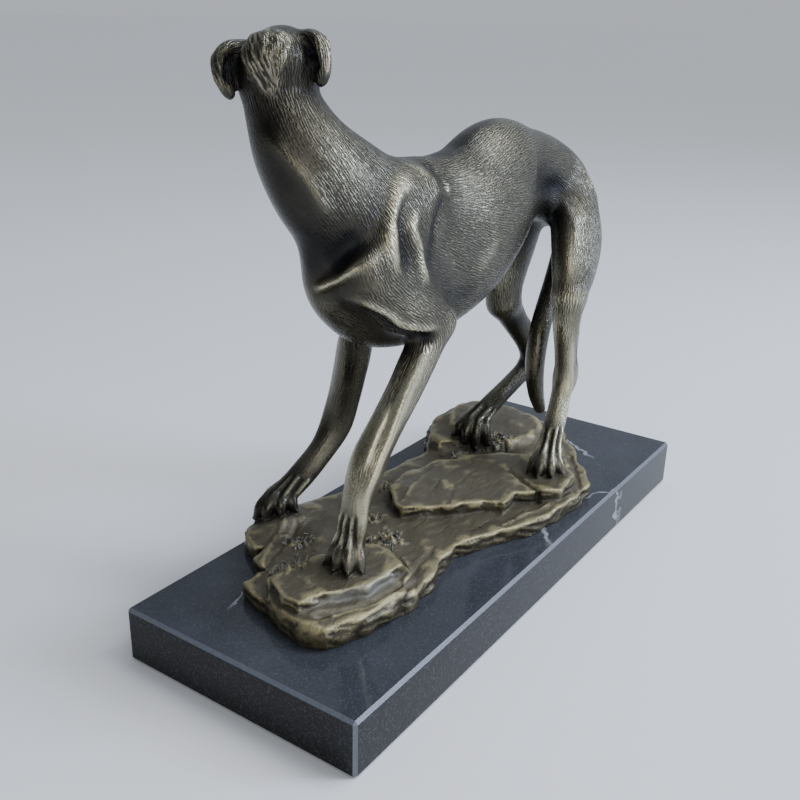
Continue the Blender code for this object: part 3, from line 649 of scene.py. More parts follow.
def carveRock(points, normal):  # cracks, bedding and torn edges of the rock, as a height along the normal
    x, y, z = points.T
    flat = np.column_stack([x, y])
    upward = np.clip((normal[:, 2] - 0.35) / 0.4, 0, 1)
    rise = np.zeros(len(points))
    for drawnPoints, width, height in rock["cracks"]:
        rows = curveThrough(drawnPoints, 6)
        away = np.full(len(points), drawn["far"])
        for first, second in zip(rows[:-1], rows[1:]):
            away = np.minimum(away, toSegment(flat, first, second)[0])
        away = away + 0.5 * ripple(points, 5.0, 8)
        rise += height * np.exp(-((away / width) ** 2))
    beds = z / rock["bedHeight"] + 1.1 * ripple(points * (1, 1, 0.5), 40.0, 21) + 0.03 * x
    ledges = beds - np.floor(beds)  # each bed juts out at its top edge and is undercut below
    broken = np.clip(0.5 + ripple(points, 22.0, 25), 0, 1)
    rise += (1 - upward) * rock["bedDepth"] * broken * (ledges - 0.5)
    for height, wave, squash, seed in rock["sideRough"]:
        rise += (1 - upward) * height * ripple(points * squash, wave, seed)
    height, wave, squash, seed = rock["topRough"]
    rise += upward * height * ripple(points * squash, wave, seed)
    rng = np.random.default_rng(5)
    for (cx, cy), spread, blades in rock["tufts"]:  # flat blades, pressed on the rock and into it
        near = np.nonzero(np.hypot(x - cx, y - cy) < spread * 1.8)[0]
        if not len(near):
            continue
        for _ in range(blades):
            turn = rng.uniform(0, 2 * math.pi)
            start = np.array((cx, cy)) + rng.normal(size=2) * spread * grass["scatter"]
            end = start + np.array((math.cos(turn), math.sin(turn))) * rng.uniform(3, 7)
            away, t = toSegment(flat[near], start, end)
            shape = (1 - 0.6 * t) * np.exp(-((away / 0.75) ** 2))
            rise[near] += rng.choice((1.4, -1.1)) * shape * upward[near]
    return rise


# The blades that stand up: how far they scatter in a tuft, their length, lean, and radii at root and tip
grass = {"scatter": 0.42, "length": (3.0, 5.2), "lean": (35, 75), "root": 0.6, "tip": 0.1}


def growGrass(made, clay):  # small keen blades that stand out of the tufts, rooted in the rock
    bm = bmesh.new()
    bm.from_mesh(made)
    rng = np.random.default_rng(17)
    for (cx, cy), spread, blades in rock["tufts"]:
        spots = rockTop(clay, rng.normal((cx, cy), spread * grass["scatter"], (blades, 2)))
        for spot in spots[(spots[:, 2] > 5.0) & (bodyDistance(clay, spots) > 2.5)]:
            turn = rng.uniform(0, 2 * math.pi)
            lean = math.radians(rng.uniform(*grass["lean"]))
            length = rng.uniform(*grass["length"])
            matrix = Matrix.Translation(spot.tolist()) @ Matrix.Rotation(turn, 4, "Z")
            matrix = matrix @ Matrix.Rotation(lean, 4, "Y") @ Matrix.Translation((0, 0, 0.32 * length))
            bmesh.ops.create_cone(bm, cap_ends=True, segments=5, radius1=grass["root"],
                                  radius2=grass["tip"], depth=length, matrix=matrix)
    bm.to_mesh(made)
    bm.free()


def flatBottom(made, level):
    bm = bmesh.new()
    bm.from_mesh(made)
    everything = bm.verts[:] + bm.edges[:] + bm.faces[:]
    cut = bmesh.ops.bisect_plane(bm, geom=everything, dist=1e-4, plane_co=(0, 0, level), plane_no=(0, 0, 1),
                                 clear_inner=True)
    rim = [e for e in cut["geom_cut"] if isinstance(e, bmesh.types.BMEdge)]
    bmesh.ops.triangle_fill(bm, edges=rim, use_beauty=True, normal=(0, 0, -1))
    bmesh.ops.recalc_face_normals(bm, faces=bm.faces[:])
    bm.to_mesh(made)
    bm.free()


def stoneShare(clay, points):  # 1 on the rock, 0 on the animal
    stone = np.zeros(len(points))
    low = np.nonzero(points[:, 2] < drawn["rockReach"])[0]
    body = bodyDistance(clay, points[low], 30.0)
    stone[low] = np.clip((body - np.maximum(rockDistance(clay, points[low]), 0) - 0.4) / 0.8, 0, 1)
    return stone


def pawDistance(points):  # how far each point is from the nearest paw
    names = ("leftFore", "rightFore", "leftHind", "rightHind")
    paws = [np.asarray(hound[name]["foot"][:3]) for name in names]
    return np.min([np.linalg.norm(points - paw, axis=1) for paw in paws], axis=0)


def neighbourMean(made, values):
    ends = np.empty(len(made.edges) * 2, np.int64)
    made.edges.foreach_get("vertices", ends)
    a, b = ends.reshape(-1, 2).T
    count = np.bincount(ends, minlength=len(values)).astype(float)
    total = np.stack([np.bincount(a, column[b], len(values)) + np.bincount(b, column[a], len(values))
                      for column in values.T], -1)
    return total / np.maximum(count, 1)[:, None]


def coatFlow(clay, points, normal):
    # the way the coat lies: along each limb, mixed where limbs meet
    total = np.zeros_like(points)
    for mass in clay.masses:
        near, own, along = massDistance(mass, points, 30.0)
        if along is None:
            continue
        weight = np.exp(-np.clip(own, -4, 40) / 5.0)
        total[near] += along * weight[:, None]
    for x, y, z, reach, dx, dy, dz, strength in coat["guides"]:
        for s in (1, -1):
            away = np.linalg.norm((points - (x, s * y, z)) / reach, axis=1)
            total += strength * np.exp(-away**2)[:, None] * unit((dx, s * dy, dz))
    total -= (total * normal).sum(1)[:, None] * normal
    return total / (np.linalg.norm(total, axis=1)[:, None] + 1e-9)


# Guides that turn the coat: place, reach, way and strength, the same on both flanks
coat = {
    "guides": [
        (-76, 22, 180, 18, 0.55, 0, -0.8, 1.5), (-70, 28, 155, 16, 0.75, 0, -0.6, 1.5),
        (-90, 22, 150, 14, 0.8, 0, -0.5, 1.5), (-98, 14, 200, 16, 0.15, 0, -1.0, 1.0),
        (-30, 28, 165, 26, 0.8, 0, -0.55, 1.5), (0, 28, 160, 24, 0.75, 0, -0.6, 1.5),
        (30, 24, 175, 22, 0.85, 0, -0.45, 1.2), (70, 20, 175, 18, 0.8, 0, -0.6, 1.2),
        (100, 26, 165, 20, 0.3, 0, -0.95, 1.2),
    ],
}


def makeCasting():
    clay = modelHound()
    settings = ("REMESH", {"mode": "VOXEL", "voxel_size": mesh["coarse"]})
    made = evaluated(roughShape(clay), settings, ("SMOOTH", {"factor": 0.5, "iterations": 4}))
    pullToSkin(made, clay, 4)
    made = evaluated(made, ("REMESH", {"mode": "VOXEL", "voxel_size": mesh["voxel"]}))
    print("fine skin", len(made.vertices))
    pullToSkin(made, clay, 2)
    points = readPoints(made)
    stone = stoneShare(clay, points)
    # the limbs and trunk are made fair, but the toes, the face and the rock keep their edges
    fair = np.clip((pawDistance(points) - 20) / 10, 0, 1) * (1 - stone)
    fair *= np.clip((np.linalg.norm(points - atHead((10, 0, 0)), axis=1) - 30) / 12, 0.1, 1)
    for _ in range(7):
        points = points + 0.6 * fair[:, None] * (neighbourMean(made, points) - points)
    writePoints(made, points)
    normal = readPoints(made, "normal")
    rise, crest = (values * (1 - stone) for values in carveLines(made, clay))
    coarse = tuftShare(points)
    rise += tuft["lip"] * coarse
    crest *= 1 - 0.8 * coarse
    rocky = np.nonzero(stone > 0)[0]
    rise[rocky] += stone[rocky] * carveRock(points[rocky], normal[rocky])
    writePoints(made, points + rise[:, None] * normal)
    made.attributes.new("crest", "FLOAT", "POINT").data.foreach_set("value", crest.astype(np.float32))
    print("lines carved", len(clay.lines))
    ratio = mesh["triangles"] / (2.0 * len(made.polygons))
    made = evaluated(made, ("TRIANGULATE", {}), ("DECIMATE", {"ratio": min(ratio, 1.0)}))
    flatBottom(made, 0.0)
    rooted = len(made.vertices)
    growGrass(made, clay)
    writeSkinNotes(made, clay, rooted)
    for v in made.vertices:
        v.co = v.co * mm
        v.co.z += castLow.z
    made.update()
    made.shade_smooth()
    piece = bpy.data.objects.new("hound_casting", made)
    bpy.context.collection.objects.link(piece)
    return piece


# How light the patina is made, partly rubbed wear and partly painted light and shade: a plain level, painted
# light on a face turned up or sideways, darker on a face turned to the rear, painted shade on the tail, the
# right legs and the throat, the legs rubbed lighter, and the paws and the head kept darker
wearAndLight = {
    "plain": 0.42, "up": 0.28, "side": 0.3, "front": -0.26, "tail": -0.15, "legs": 0.37, "rightLegs": -0.36,
    "paws": -0.3, "throat": -0.6, "head": -0.2,
    "open": 14.0,  # how far out from a place its openness is looked at, for painted shade in closed-in places
    "bendRounds": (2, 10, 40),  # smoothing rounds that tell fine, middle and broad bends
}


def between(values, start, end):  # 0 at start or before it, 1 at end
    return np.clip((values - start) / (end - start), 0, 1)


def writeSkinNotes(made, clay, rooted):  # what the material reads: coat, wear with painted light and shade, hollows, stone, tuft
    points, normal = readPoints(made), readPoints(made, "normal")
    flow = coatFlow(clay, points, normal)
    stone = stoneShare(clay, points)
    smooth, bends = points, []
    for rounds in wearAndLight["bendRounds"]:
        for _ in range(rounds):
            smooth = neighbourMean(made, smooth)
        bends.append(((smooth - points) * normal).sum(1))
    fine, middle, broad = bends
    hollow = np.clip(0.4 * (middle - 0.05) / 0.6 + 0.6 * (broad - 0.2) / 1.6, 0, 1.2)
    worn = np.clip(-0.4 * (fine + 0.02) / 0.08 - 0.6 * (middle + 0.12) / 0.5, 0, 1.2)
    openToLight = 0.3 + 0.7 * between(field(clay, points + wearAndLight["open"] * normal, 20.0), 0, 13.0)  # how open it lies; closed-in places are painted into shade
    for k in range(9):
        openToLight = neighbourMean(made, openToLight[:, None])[:, 0]
        hollow = neighbourMean(made, hollow[:, None])[:, 0]
        worn = neighbourMean(made, worn[:, None])[:, 0] if k < 3 else worn
    calm = normal
    for _ in range(8):
        calm = neighbourMean(made, calm)
    nx, ny, nz = calm.T
    x, y, z = points.T
    forward = -nx / (np.hypot(nx, ny) + 0.01)
    below = between(z, 238, 226)  # under the head
    neck = between(z, 150, 170) * below
    tail = (x > 88) & (np.abs(y + 5) < 11)
    legs = between(z, 138, 108) * ~tail
    # painted light and shade: faces turned up or sideways made lighter, faces turned to the rear darker,
    # painted shade on the tail, the right legs and the throat; the legs rubbed lighter
    wearAndPaintedLight = wearAndLight["plain"] + wearAndLight["up"] * nz + wearAndLight["side"] * np.abs(ny) + wearAndLight["front"] * nx
    wearAndPaintedLight = np.clip(wearAndPaintedLight + wearAndLight["tail"] * tail, 0, 1) + wearAndLight["legs"] * legs
    wearAndPaintedLight += wearAndLight["rightLegs"] * legs * between(y, 4, 12)
    wearAndPaintedLight += wearAndLight["paws"] * between(pawDistance(points), 26, 16)
    wearAndPaintedLight += wearAndLight["throat"] * neck * between(forward, 0.15, 0.75) + wearAndLight["head"] * (1 - below)

    # the coat thins out on the legs, the breast and the throat, and leg ridges are rubbed smooth
    crest = np.empty(len(points))
    made.attributes["crest"].data.foreach_get("value", crest)
    fur = (1 - stone) * np.clip((pawDistance(points) - 8) / 10, 0.2, 1)
    fur *= 1 - 0.72 * between(z, 122, 92)
    fur *= 1 - 0.8 * between(-nx, 0.3, 0.9) * between(z, 120, 140) * below
    fur *= 1 - 0.7 * neck * between(forward, 0.8, 0.9)
    fur *= 1 - 0.8 * np.clip(crest, 0, 1) * between(z, 130, 120)
    leftward = (points - head["centre"]) @ headWays()[1]
    silver = tuftShare(points) * np.clip((leftward + 8) / 9, 0.25, 1)

    steep = between(nz, 0.8, 0.3) * stone
    edge = between(-middle, 0.28, 0.53) * between(-fine, 0, 0.05)
    edge *= 1 - 0.65 * between(nz, 0.5, 0.2)
    cut = np.full(len(points), drawn["far"])
    for first, second in zip(rock["cutFace"][:-1], rock["cutFace"][1:]):
        cut = np.minimum(cut, toSegment(points, first, second)[0])
    cut = 0.8 * between(cut, 5.0, 3.4) * steep
    for values, level in ((edge, 0.1), (cut, 0.75)):  # the blades of grass
        values[rooted:] = level

    # the patina's tone carries painted light and shade, and is painted darker where a place is closed in
    notes = {"hollow": hollow, "worn": worn, "wearAndPaintedLight": wearAndPaintedLight * openToLight, "stone": stone, "tuft": silver,
             "fur": fur, "steep": steep, "edge": edge, "cut": cut}
    for name, values in notes.items():
        layer = made.attributes.new(name, "FLOAT", "POINT")
        layer.data.foreach_set("value", values.astype(np.float32))
    for name, values in (("lie", flow), ("across", np.cross(normal, flow))):
        layer = made.attributes.new(name, "FLOAT_VECTOR", "POINT")
        layer.data.foreach_set("vector", values.astype(np.float32).ravel())


def makeMarble():
    bm = bmesh.new()
    bmesh.ops.create_cube(bm, size=1.0)
    size = marbleHigh - marbleLow
    bmesh.ops.scale(bm, vec=size, verts=bm.verts)
    bmesh.ops.translate(bm, vec=(marbleLow + marbleHigh) / 2, verts=bm.verts)
    bmesh.ops.bevel(bm, geom=bm.edges[:], offset=marble["arris"], segments=1, affect="EDGES", profile=0.5,
                    material=-1)
    made = bpy.data.meshes.new("polished_marble")
    bm.to_mesh(made)
    bm.free()
    piece = bpy.data.objects.new("polished_marble", made)
    bpy.context.collection.objects.link(piece)
    return piece


def hexColour(text):  # sRGB hex to linear
    parts = [int(text[i : i + 2], 16) / 255 for i in (1, 3, 5)]
    return (*[p / 12.92 if p <= 0.04045 else ((p + 0.055) / 1.055) ** 2.4 for p in parts], 1.0)


def add(tree, kind, settings=None, out=0, **inputs):
    # one node: its settings, then its inputs by name or number, each a value or another node's output
    node = tree.nodes.new("ShaderNode" + kind)
    for name, value in (settings or {}).items():
        setattr(node, name, value)
    for name, value in inputs.items():
        socket = node.inputs[int(name[1:]) if name[1:].isdigit() else name.replace("_", " ")]
        if isinstance(value, bpy.types.NodeSocket):
            tree.links.new(value, socket)
        else:
            socket.default_value = value
    return node.outputs[out]


# Settings of the nodes that are used often
times = {"operation": "MULTIPLY"}
timesPlus = {"operation": "MULTIPLY_ADD"}
plus = {"operation": "ADD"}
minus = {"operation": "SUBTRACT"}
over = {"operation": "DIVIDE"}
unsigned = {"operation": "ABSOLUTE"}
sine = {"operation": "SINE"}
dot = {"operation": "DOT_PRODUCT"}
clamped = {"clamp": True}
colours = {"data_type": "RGBA"}


def newMaterial(name):
    material = bpy.data.materials.new(name)
    material.use_nodes = True
    return material, material.node_tree, material.node_tree.nodes["Principled BSDF"]


# Cast bronze, chiselled by hand, under a dark brown patina that is rubbed through on every crest, with a
# painted highlight on the crests and hair tops and painted light and shade in its tone.
# Lengths are in metres. A hair stroke is about 1.3 mm wide, coarser than the real one so that it shows
bronze = {
    "deep": "#0c0a07", "brown": "#27221a", "olive": "#3e3a2d", "steel": "#434a52", "rubbed": "#6f6a58",
    "bright": "#b3ad92", "stoneDark": "#4c4738", "stoneBrown": "#645d4b", "stoneGold": "#9c926c",
    "stoneCut": "#8a8a82", "tuft": "#98927f",
    "stops": ((0.0, "deep"), (0.25, "brown"), (0.5, "olive"), (0.78, "rubbed"), (1.0, "bright")),
    # how much each note adds to the rubbing and the painted light and shade, from its least value, and to the
    # roughness, from leastRough; crest and furHair also paint a highlight on ridges and hair tops
    "leastRubAndLight": 0.12,
    "rubAndLight": {"wearAndPaintedLight": 0.56, "furHair": 0.38, "worn": 0.16, "hollow": -0.2, "crest": 0.6, "cloud": 0.35,
            "speck": 0.15},
    "leastRough": 0.22, "rough": {"rawSpeck": 0.2, "stone": 0.1, "hollow": 0.2, "worn": -0.06},
    "coolShare": 0.25, "tuftShare": (0.9, 0.27), "metallic": 0.82, "stoneMetallic": -0.25,
    "hairWide": 0.0013, "hairLong": 0.0055, "tuftWide": 1.1, "tuftLong": 0.8, "hairWander": 11.0,
    "patchWide": 0.009, "patchShifts": (0.0, 0.0131, 0.0277), "patchKeen": 6.0,
    "cloudWide": 0.028, "pitWide": 0.0016, "grainWide": 0.012,
    "woodShare": 1.6, "speckShare": 1.2, "sideDark": 0.6, "sunk": 0.25, "gilt": 0.7,
    "hairDeep": 0.00022, "rockDeep": 0.0008, "pitDeep": 0.00024, "strokeDeep": -0.0004,
    "signAt": (-0.0165, -0.0354), "signTurn": -15.0, "signSize": (0.0125, 0.0019), "signStep": 0.0023,
}


def hairPattern(tree, place):
    # strokes along the coat, drawn in three sets of overlapping patches so that they can bend with it
    lie = add(tree, "Attribute", {"attribute_name": "lie"}, "Vector")
    across = add(tree, "Attribute", {"attribute_name": "across"}, "Vector")
    tuft = add(tree, "Attribute", {"attribute_name": "tuft"}, "Fac")
    long, wide = (add(tree, "Math", timesPlus, i0=tuft, i1=bronze[name] * bronze[grow], i2=bronze[name])
                  for name, grow in (("hairLong", "tuftLong"), ("hairWide", "tuftWide")))
    total, weights = 0.0, 0.0
    for shift in bronze["patchShifts"]:
        moved = add(tree, "VectorMath", plus, i0=place, i1=(shift, -shift, shift * 0.5))
        cells = {name: add(tree, "TexVoronoi", out=name, Vector=moved, Scale=1 / bronze["patchWide"])
                 for name in ("Position", "Color", "Distance")}
        away = add(tree, "VectorMath", minus, i0=moved, i1=cells["Position"])
        along = add(tree, "VectorMath", dot, "Value", i0=away, i1=lie)
        beside = add(tree, "VectorMath", dot, "Value", i0=away, i1=across)
        u = add(tree, "Math", over, i0=along, i1=long)
        v = add(tree, "Math", over, i0=beside, i1=wide)
        own = add(tree, "Math", times, i0=add(tree, "SeparateColor", i0=cells["Color"]), i1=90.0)
        spot = add(tree, "CombineXYZ", X=u, Y=add(tree, "Math", times, i0=v, i1=0.55), Z=own)
        wander = add(tree, "TexNoise", Vector=spot, Scale=1.0, Detail=1.0, Roughness=0.5)
        turns = add(tree, "Math", timesPlus, i0=wander, i1=bronze["hairWander"],
                    i2=add(tree, "Math", times, i0=v, i1=2 * math.pi))
        stroke = add(tree, "Math", sine, i0=turns)
        near = add(tree, "MapRange", clamped, Value=cells["Distance"], From_Min=0.75, From_Max=0.1)
        weight = add(tree, "Math", {"operation": "POWER"}, i0=near, i1=bronze["patchKeen"])
        weight = add(tree, "Math", {"operation": "MAXIMUM"}, i0=weight, i1=0.001)
        total = add(tree, "Math", timesPlus, i0=stroke, i1=weight, i2=total)
        weights = add(tree, "Math", plus, i0=weight, i1=weights)
    mean = add(tree, "Math", over, i0=total, i1=weights)
    return add(tree, "MapRange", clamped, Value=mean, From_Min=-0.9, From_Max=0.9)


def strokeRow(tree, place):  # a row of shallow slanting strokes cut in the rock, as a mask from 0 to 1
    moved = add(tree, "Mapping", {"vector_type": "TEXTURE"}, Vector=place, Location=(*bronze["signAt"], 0),
                Rotation=(0, 0, math.radians(bronze["signTurn"])))
    x, y = (add(tree, "SeparateXYZ", out=axis, Vector=moved) for axis in ("X", "Y"))
    wander = add(tree, "TexNoise", Vector=place, Scale=1 / 0.004, Detail=1.0)
    slant = add(tree, "Math", timesPlus, i0=y, i1=0.4, i2=x)
    slant = add(tree, "Math", timesPlus, i0=wander, i1=0.004, i2=slant)
    slant = add(tree, "Math", times, i0=slant, i1=2 * math.pi / bronze["signStep"])
    wave = add(tree, "Math", sine, i0=slant)
    mask = add(tree, "MapRange", clamped, Value=wave, From_Min=0.35, From_Max=0.9)
    for value, half in zip((x, y), bronze["signSize"]):
        off = add(tree, "Math", unsigned, i0=value)
        inside = add(tree, "MapRange", clamped, Value=off, From_Min=half, From_Max=half * 0.8)
        mask = add(tree, "Math", times, i0=mask, i1=inside)
    return mask


def patinatedBronze():
    material, tree, shader = newMaterial("patinated_bronze")
    place = add(tree, "TexCoord", out="Object")
    names = ("hollow", "worn", "wearAndPaintedLight", "stone", "tuft", "fur", "steep", "edge", "cut", "crest")
    note = {name: add(tree, "Attribute", {"attribute_name": name}, "Fac") for name in names}
    hair = hairPattern(tree, place)
    strokes = add(tree, "Math", times, i0=strokeRow(tree, place), i1=note["stone"])
    cloud = add(tree, "TexNoise", Vector=place, Scale=1 / bronze["cloudWide"], Detail=4.0, Roughness=0.6)
    speck = add(tree, "TexNoise", Vector=place, Scale=1 / bronze["pitWide"], Detail=3.0, Roughness=0.65)
    grain = add(tree, "Mapping", Vector=place, Scale=(1.0, 3.2, 2.0))
    wood = add(tree, "TexNoise", Vector=grain, Scale=1 / bronze["grainWide"], Detail=6.0, Roughness=0.68,
               Distortion=0.6)
    for name, value in (("hair", hair), ("cloud", cloud), ("wood", wood), ("speck", speck)):
        note[name] = add(tree, "Math", minus, i0=value, i1=0.5)
    note["furHair"] = add(tree, "Math", times, i0=note["hair"], i1=note["fur"])
    note["rawSpeck"] = speck

    # how far the patina is rubbed, with painted light and shade: crests and hair tops up, partly as a painted
    # highlight, hollows and grooves down
    rubAndLight = bronze["leastRubAndLight"]
    for name, share in bronze["rubAndLight"].items():
        rubAndLight = add(tree, "Math", timesPlus, i0=note[name], i1=share, i2=rubAndLight)
    ramp = tree.nodes.new("ShaderNodeValToRGB")
    tree.links.new(rubAndLight, ramp.inputs[0])
    while len(ramp.color_ramp.elements) < len(bronze["stops"]):
        ramp.color_ramp.elements.new(0.5)
    for element, (at, name) in zip(ramp.color_ramp.elements, bronze["stops"]):
        element.position = at
        element.color = hexColour(bronze[name])
    cool = add(tree, "Math", times, i0=cloud, i1=bronze["coolShare"])
    grow, least = bronze["tuftShare"]
    silver = add(tree, "Math", timesPlus, i0=note["hair"], i1=grow, i2=least)
    silver = add(tree, "Math", times, i0=note["tuft"], i1=silver)
    colour = ramp.outputs[0]
    for share, name in ((cool, "steel"), (silver, "tuft")):
        colour = add(tree, "Mix", colours, 2, i0=share, i6=colour, i7=hexColour(bronze[name]))

    # the rock: even brown tops with a fine grain, dark sides, and keen edges rubbed to gold
    grained = add(tree, "Math", timesPlus, i0=note["wood"], i1=bronze["woodShare"], i2=0.5)
    grained = add(tree, "Math", timesPlus, i0=note["speck"], i1=bronze["speckShare"], i2=grained)
    dark = add(tree, "Math", times, i0=note["steep"], i1=bronze["sideDark"])
    sunk = add(tree, "Math", timesPlus, i0=note["hollow"], i1=bronze["sunk"], i2=strokes)
    gilt = add(tree, "Math", times, i0=note["edge"], i1=bronze["gilt"])
    stone = hexColour(bronze["stoneDark"])
    for share, name in ((grained, "stoneBrown"), (dark, "deep"), (gilt, "stoneGold"),
                        (note["cut"], "stoneCut"), (sunk, "deep")):
        stone = add(tree, "Mix", colours, 2, i0=share, i6=stone, i7=hexColour(bronze[name]))
    colour = add(tree, "Mix", colours, 2, i0=note["stone"], i6=colour, i7=stone)
    tree.links.new(colour, shader.inputs["Base Color"])

    metal = add(tree, "Math", timesPlus, i0=note["stone"], i1=bronze["stoneMetallic"], i2=bronze["metallic"])
    tree.links.new(metal, shader.inputs["Metallic"])
    rough = bronze["leastRough"]
    for name, share in bronze["rough"].items():
        rough = add(tree, "Math", {**timesPlus, "use_clamp": True}, i0=note[name], i1=share, i2=rough)
    tree.links.new(rough, shader.inputs["Roughness"])

    furry = add(tree, "Math", times, i0=hair, i1=note["fur"])
    rocky = add(tree, "Math", times, i0=wood, i1=note["stone"])
    height = 0.0
    reliefs = ((furry, "hairDeep"), (rocky, "rockDeep"), (speck, "pitDeep"), (strokes, "strokeDeep"))
    for value, name in reliefs:
        height = add(tree, "Math", timesPlus, i0=value, i1=bronze[name], i2=height)
    bump = add(tree, "Bump", Height=height, Distance=1.0, Strength=1.0)
    tree.links.new(bump, shader.inputs["Normal"])
    return material


# Black marble, sawn and polished: grey flecks in a black ground, few white veins, a ground arris.
# Each vein has its place, its turn in degrees, its length and its width; lengths are in metres
marble = {
    "arris": 0.0016, "black": "#0b0b0d", "cloud": "#3c3f45", "fleck": "#5b5e64", "vein": "#aeb2b8",
    "groundDark": "#3a3d42", "groundLight": "#6d737c", "groundRough": 0.42,
    "cloudWide": 0.03, "fleckWide": 0.0011, "veinWander": 0.012, "groundGrain": 0.0012,
    "paintedTopLight": (0.62, 0.06),  # painted light: the top is painted paler than the sides
    "polish": 0.08, "fleckRough": 0.25, "ior": 1.5, "specular": 0.18,
    "veins": (((0.02, -0.055), 35, 0.05, 0.0016), ((0.135, -0.02), 60, 0.05, 0.0012),
              ((-0.13, 0.035), 15, 0.045, 0.0009), ((0.075, -0.064), -20, 0.06, 0.0007)),
}


def vein(tree, place, at, turn, length, width):  # a pale streak across the stone, as a mask from 0 to 1
    moved = add(tree, "Mapping", {"vector_type": "TEXTURE"}, Vector=place, Location=(*at, 0),
                Rotation=(0, 0, math.radians(turn)))
    x, y = (add(tree, "SeparateXYZ", out=axis, Vector=moved) for axis in ("X", "Y"))
    wander = add(tree, "TexNoise", Vector=place, Scale=1 / marble["veinWander"], Detail=4.0)
    off = add(tree, "Math", timesPlus, i0=wander, i1=marble["veinWander"], i2=y)
    off = add(tree, "Math", minus, i0=off, i1=marble["veinWander"] / 2)
    aside = add(tree, "Math", unsigned, i0=off)
    across = add(tree, "MapRange", Value=aside, From_Min=width, From_Max=width * 0.3)
    ends = add(tree, "Math", unsigned, i0=x)
    along = add(tree, "MapRange", Value=ends, From_Min=length / 2, From_Max=length * 0.3)
    return add(tree, "Math", times, i0=across, i1=along)


def polishedMarble():
    material, tree, shader = newMaterial("polished_black_marble")
    place = add(tree, "TexCoord", out="Object")
    cloud = add(tree, "TexNoise", Vector=place, Scale=1 / marble["cloudWide"], Detail=5.0, Roughness=0.6)
    grain = add(tree, "TexNoise", Vector=place, Scale=1 / marble["fleckWide"], Detail=4.0, Roughness=0.7)
    fleck = add(tree, "MapRange", Value=grain, From_Min=0.52, From_Max=0.72)
    up = add(tree, "SeparateXYZ", out="Z", Vector=add(tree, "NewGeometry", out="Normal"))
    # painted light: the top of the marble is painted paler than its sides
    paintedTopLight = add(tree, "Math", timesPlus, i0=up, i1=marble["paintedTopLight"][0], i2=marble["paintedTopLight"][1])
    share = add(tree, "Math", times, i0=paintedTopLight, i1=add(tree, "Math", plus, i0=cloud, i1=0.5))
    masks = [(share, "cloud"), (add(tree, "Math", times, i0=fleck, i1=0.5), "fleck")]
    for row in marble["veins"]:
        masks.append((add(tree, "Math", times, i0=vein(tree, place, *row), i1=cloud), "vein"))
    stone = hexColour(marble["black"])
    for share, name in masks:
        stone = add(tree, "Mix", colours, 2, i0=share, i6=stone, i7=hexColour(marble[name]))
    tree.links.new(stone, shader.inputs["Base Color"])
    rough = add(tree, "Math", timesPlus, i0=fleck, i1=marble["fleckRough"], i2=marble["polish"])
    tree.links.new(rough, shader.inputs["Roughness"])
    shader.inputs["IOR"].default_value = marble["ior"]
    shader.inputs["Specular IOR Level"].default_value = marble["specular"]
    return material


def groundArris():  # the same stone, ground but not polished, looks grey and dull
    material, tree, shader = newMaterial("ground_marble_arris")
    place = add(tree, "TexCoord", out="Object")
    grain = add(tree, "TexNoise", Vector=place, Scale=1 / marble["groundGrain"], Detail=4.0, Roughness=0.7)
    colour = add(tree, "Mix", colours, 2, i0=grain, i6=hexColour(marble["groundDark"]),
                 i7=hexColour(marble["groundLight"]))
    tree.links.new(colour, shader.inputs["Base Color"])
    shader.inputs["Roughness"].default_value = marble["groundRough"]
    return material


def aim(thing, place, target):
    thing.location = place
    thing.rotation_mode = "QUATERNION"
    thing.rotation_quaternion = (Vector(target) - Vector(place)).to_track_quat("-Z", "Y")


# A pale floor and wall, a sky that is lighter on one side, and soft windows: name, place, size in metres,
# power in watts and colour. The camera stands where the photograph was taken from
studio = {
    "floor": "#dcdcdc", "floorSize": 40.0, "floorRough": 0.8,
    "wall": "#d5dae0", "sky": "#dde6f4", "low": "#171513", "strength": 0.75, "bright": (0.5, -0.2, 0.6),
    "windows": [("top_window", (0.3, -0.4, 1.4), (0.8, 0.6), 12, "#e8f0ff"),
                ("right_window", (0.8, -1.3, 0.7), (0.5, 0.8), 26, "#cfdfff"),
                ("front_fill", (-1.1, -1.2, 0.6), (1.5, 1.1), 14, "#f8f6f4")],
    "target": (0, 0, 0.12), "dayFrom": (0.8, -0.9, 1.4), "dayPower": 1.1, "dayAngle": 40,
    "lens": 43.62, "sensor": 36.0, "azimuth": -55.515, "elevation": 21.673, "roll": 1.268,
    "place": (-0.43789, -0.26676, 0.30355),
}


def softLight(name, place, size, power, colour):
    light = bpy.data.lights.new(name, "AREA")
    light.shape = "RECTANGLE"
    light.size, light.size_y = size
    light.energy = power
    light.color = hexColour(colour)[:3]
    lamp = bpy.data.objects.new(name, light)
    bpy.context.collection.objects.link(lamp)
    aim(lamp, place, studio["target"])


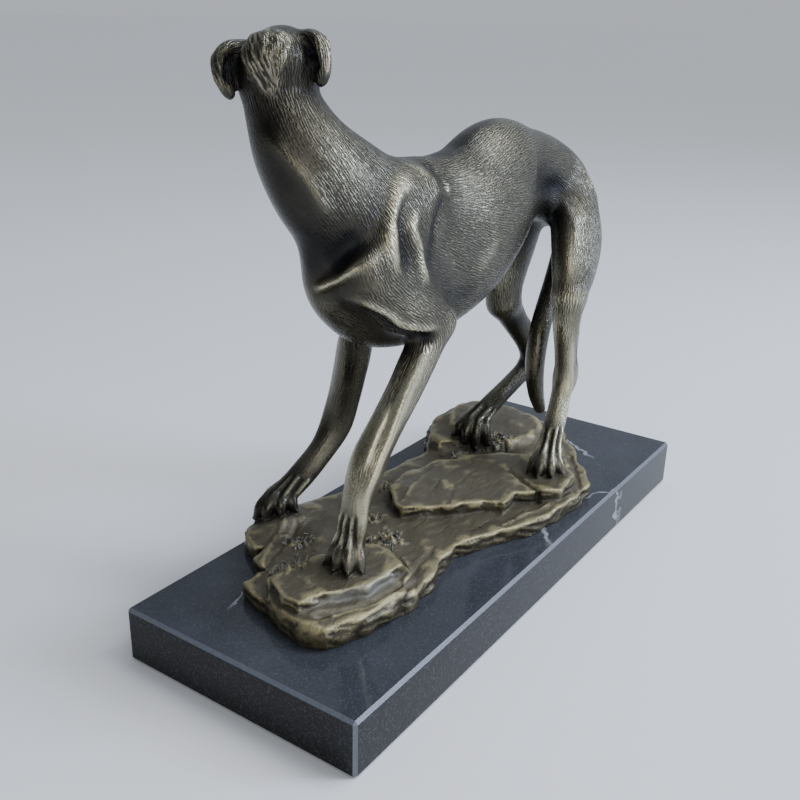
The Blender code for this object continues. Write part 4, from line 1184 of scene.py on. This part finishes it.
def setStudio():
    world = bpy.data.worlds.new("studio_sky")
    bpy.context.scene.world = world
    world.use_nodes = True
    tree = world.node_tree
    back = tree.nodes["Background"]
    way = add(tree, "TexCoord", out="Generated")
    toward = add(tree, "VectorMath", dot, "Value", i0=way, i1=studio["bright"])
    rise = add(tree, "MapRange", Value=toward, From_Min=-0.35, From_Max=0.6)
    colour = add(tree, "Mix", colours, 2, i0=rise, i6=hexColour(studio["low"]), i7=hexColour(studio["sky"]))
    seen = add(tree, "LightPath", out="Is Camera Ray")  # the camera sees a plain pale wall instead
    colour = add(tree, "Mix", colours, 2, i0=seen, i6=colour, i7=hexColour(studio["wall"]))
    tree.links.new(colour, back.inputs[0])
    back.inputs[1].default_value = studio["strength"]

    floor = bmesh.new()
    bmesh.ops.create_grid(floor, x_segments=1, y_segments=1, size=studio["floorSize"])
    made = bpy.data.meshes.new("pale_floor")
    floor.to_mesh(made)
    floor.free()
    ground = bpy.data.objects.new("pale_floor", made)
    bpy.context.collection.objects.link(ground)
    material, _, shader = newMaterial("pale_paper")
    shader.inputs["Base Color"].default_value = hexColour(studio["floor"])
    shader.inputs["Roughness"].default_value = studio["floorRough"]
    made.materials.append(material)

    for window in studio["windows"]:
        softLight(*window)
    sun = bpy.data.lights.new("day_light", "SUN")
    sun.energy = studio["dayPower"]
    sun.angle = math.radians(studio["dayAngle"])
    day = bpy.data.objects.new("day_light", sun)
    bpy.context.collection.objects.link(day)
    aim(day, studio["dayFrom"], (0, 0, 0))


def setCamera():
    a, e, roll = (math.radians(studio[name]) for name in ("azimuth", "elevation", "roll"))
    ahead = Vector((-math.sin(a) * math.cos(e), math.cos(a) * math.cos(e), -math.sin(e)))
    right = Vector((math.cos(a), math.sin(a), 0))
    up = right.cross(ahead)
    side = right * math.cos(roll) + up * math.sin(roll)
    top = up * math.cos(roll) - right * math.sin(roll)
    lens = bpy.data.cameras.new("photo_camera")
    lens.lens = studio["lens"]
    lens.sensor_width = studio["sensor"]
    camera = bpy.data.objects.new("photo_camera", lens)
    bpy.context.collection.objects.link(camera)
    turn = Matrix((side, top, -ahead)).transposed().to_4x4()
    camera.matrix_world = Matrix.Translation(studio["place"]) @ turn
    bpy.context.scene.camera = camera


casting = makeCasting()
casting.data.materials.append(patinatedBronze())
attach(casting, "root")
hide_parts("bronze_greyhound")
print("casting", len(casting.data.polygons))

slab = makeMarble()
slab.data.materials.append(polishedMarble())
slab.data.materials.append(groundArris())
for polygon in slab.data.polygons:
    polygon.material_index = 0 if max(abs(n) for n in polygon.normal) > 0.99 else 1
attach(slab, "root")
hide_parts("marble_base")
print("marble", len(slab.data.polygons))

setStudio()
setCamera()
print("studio set")
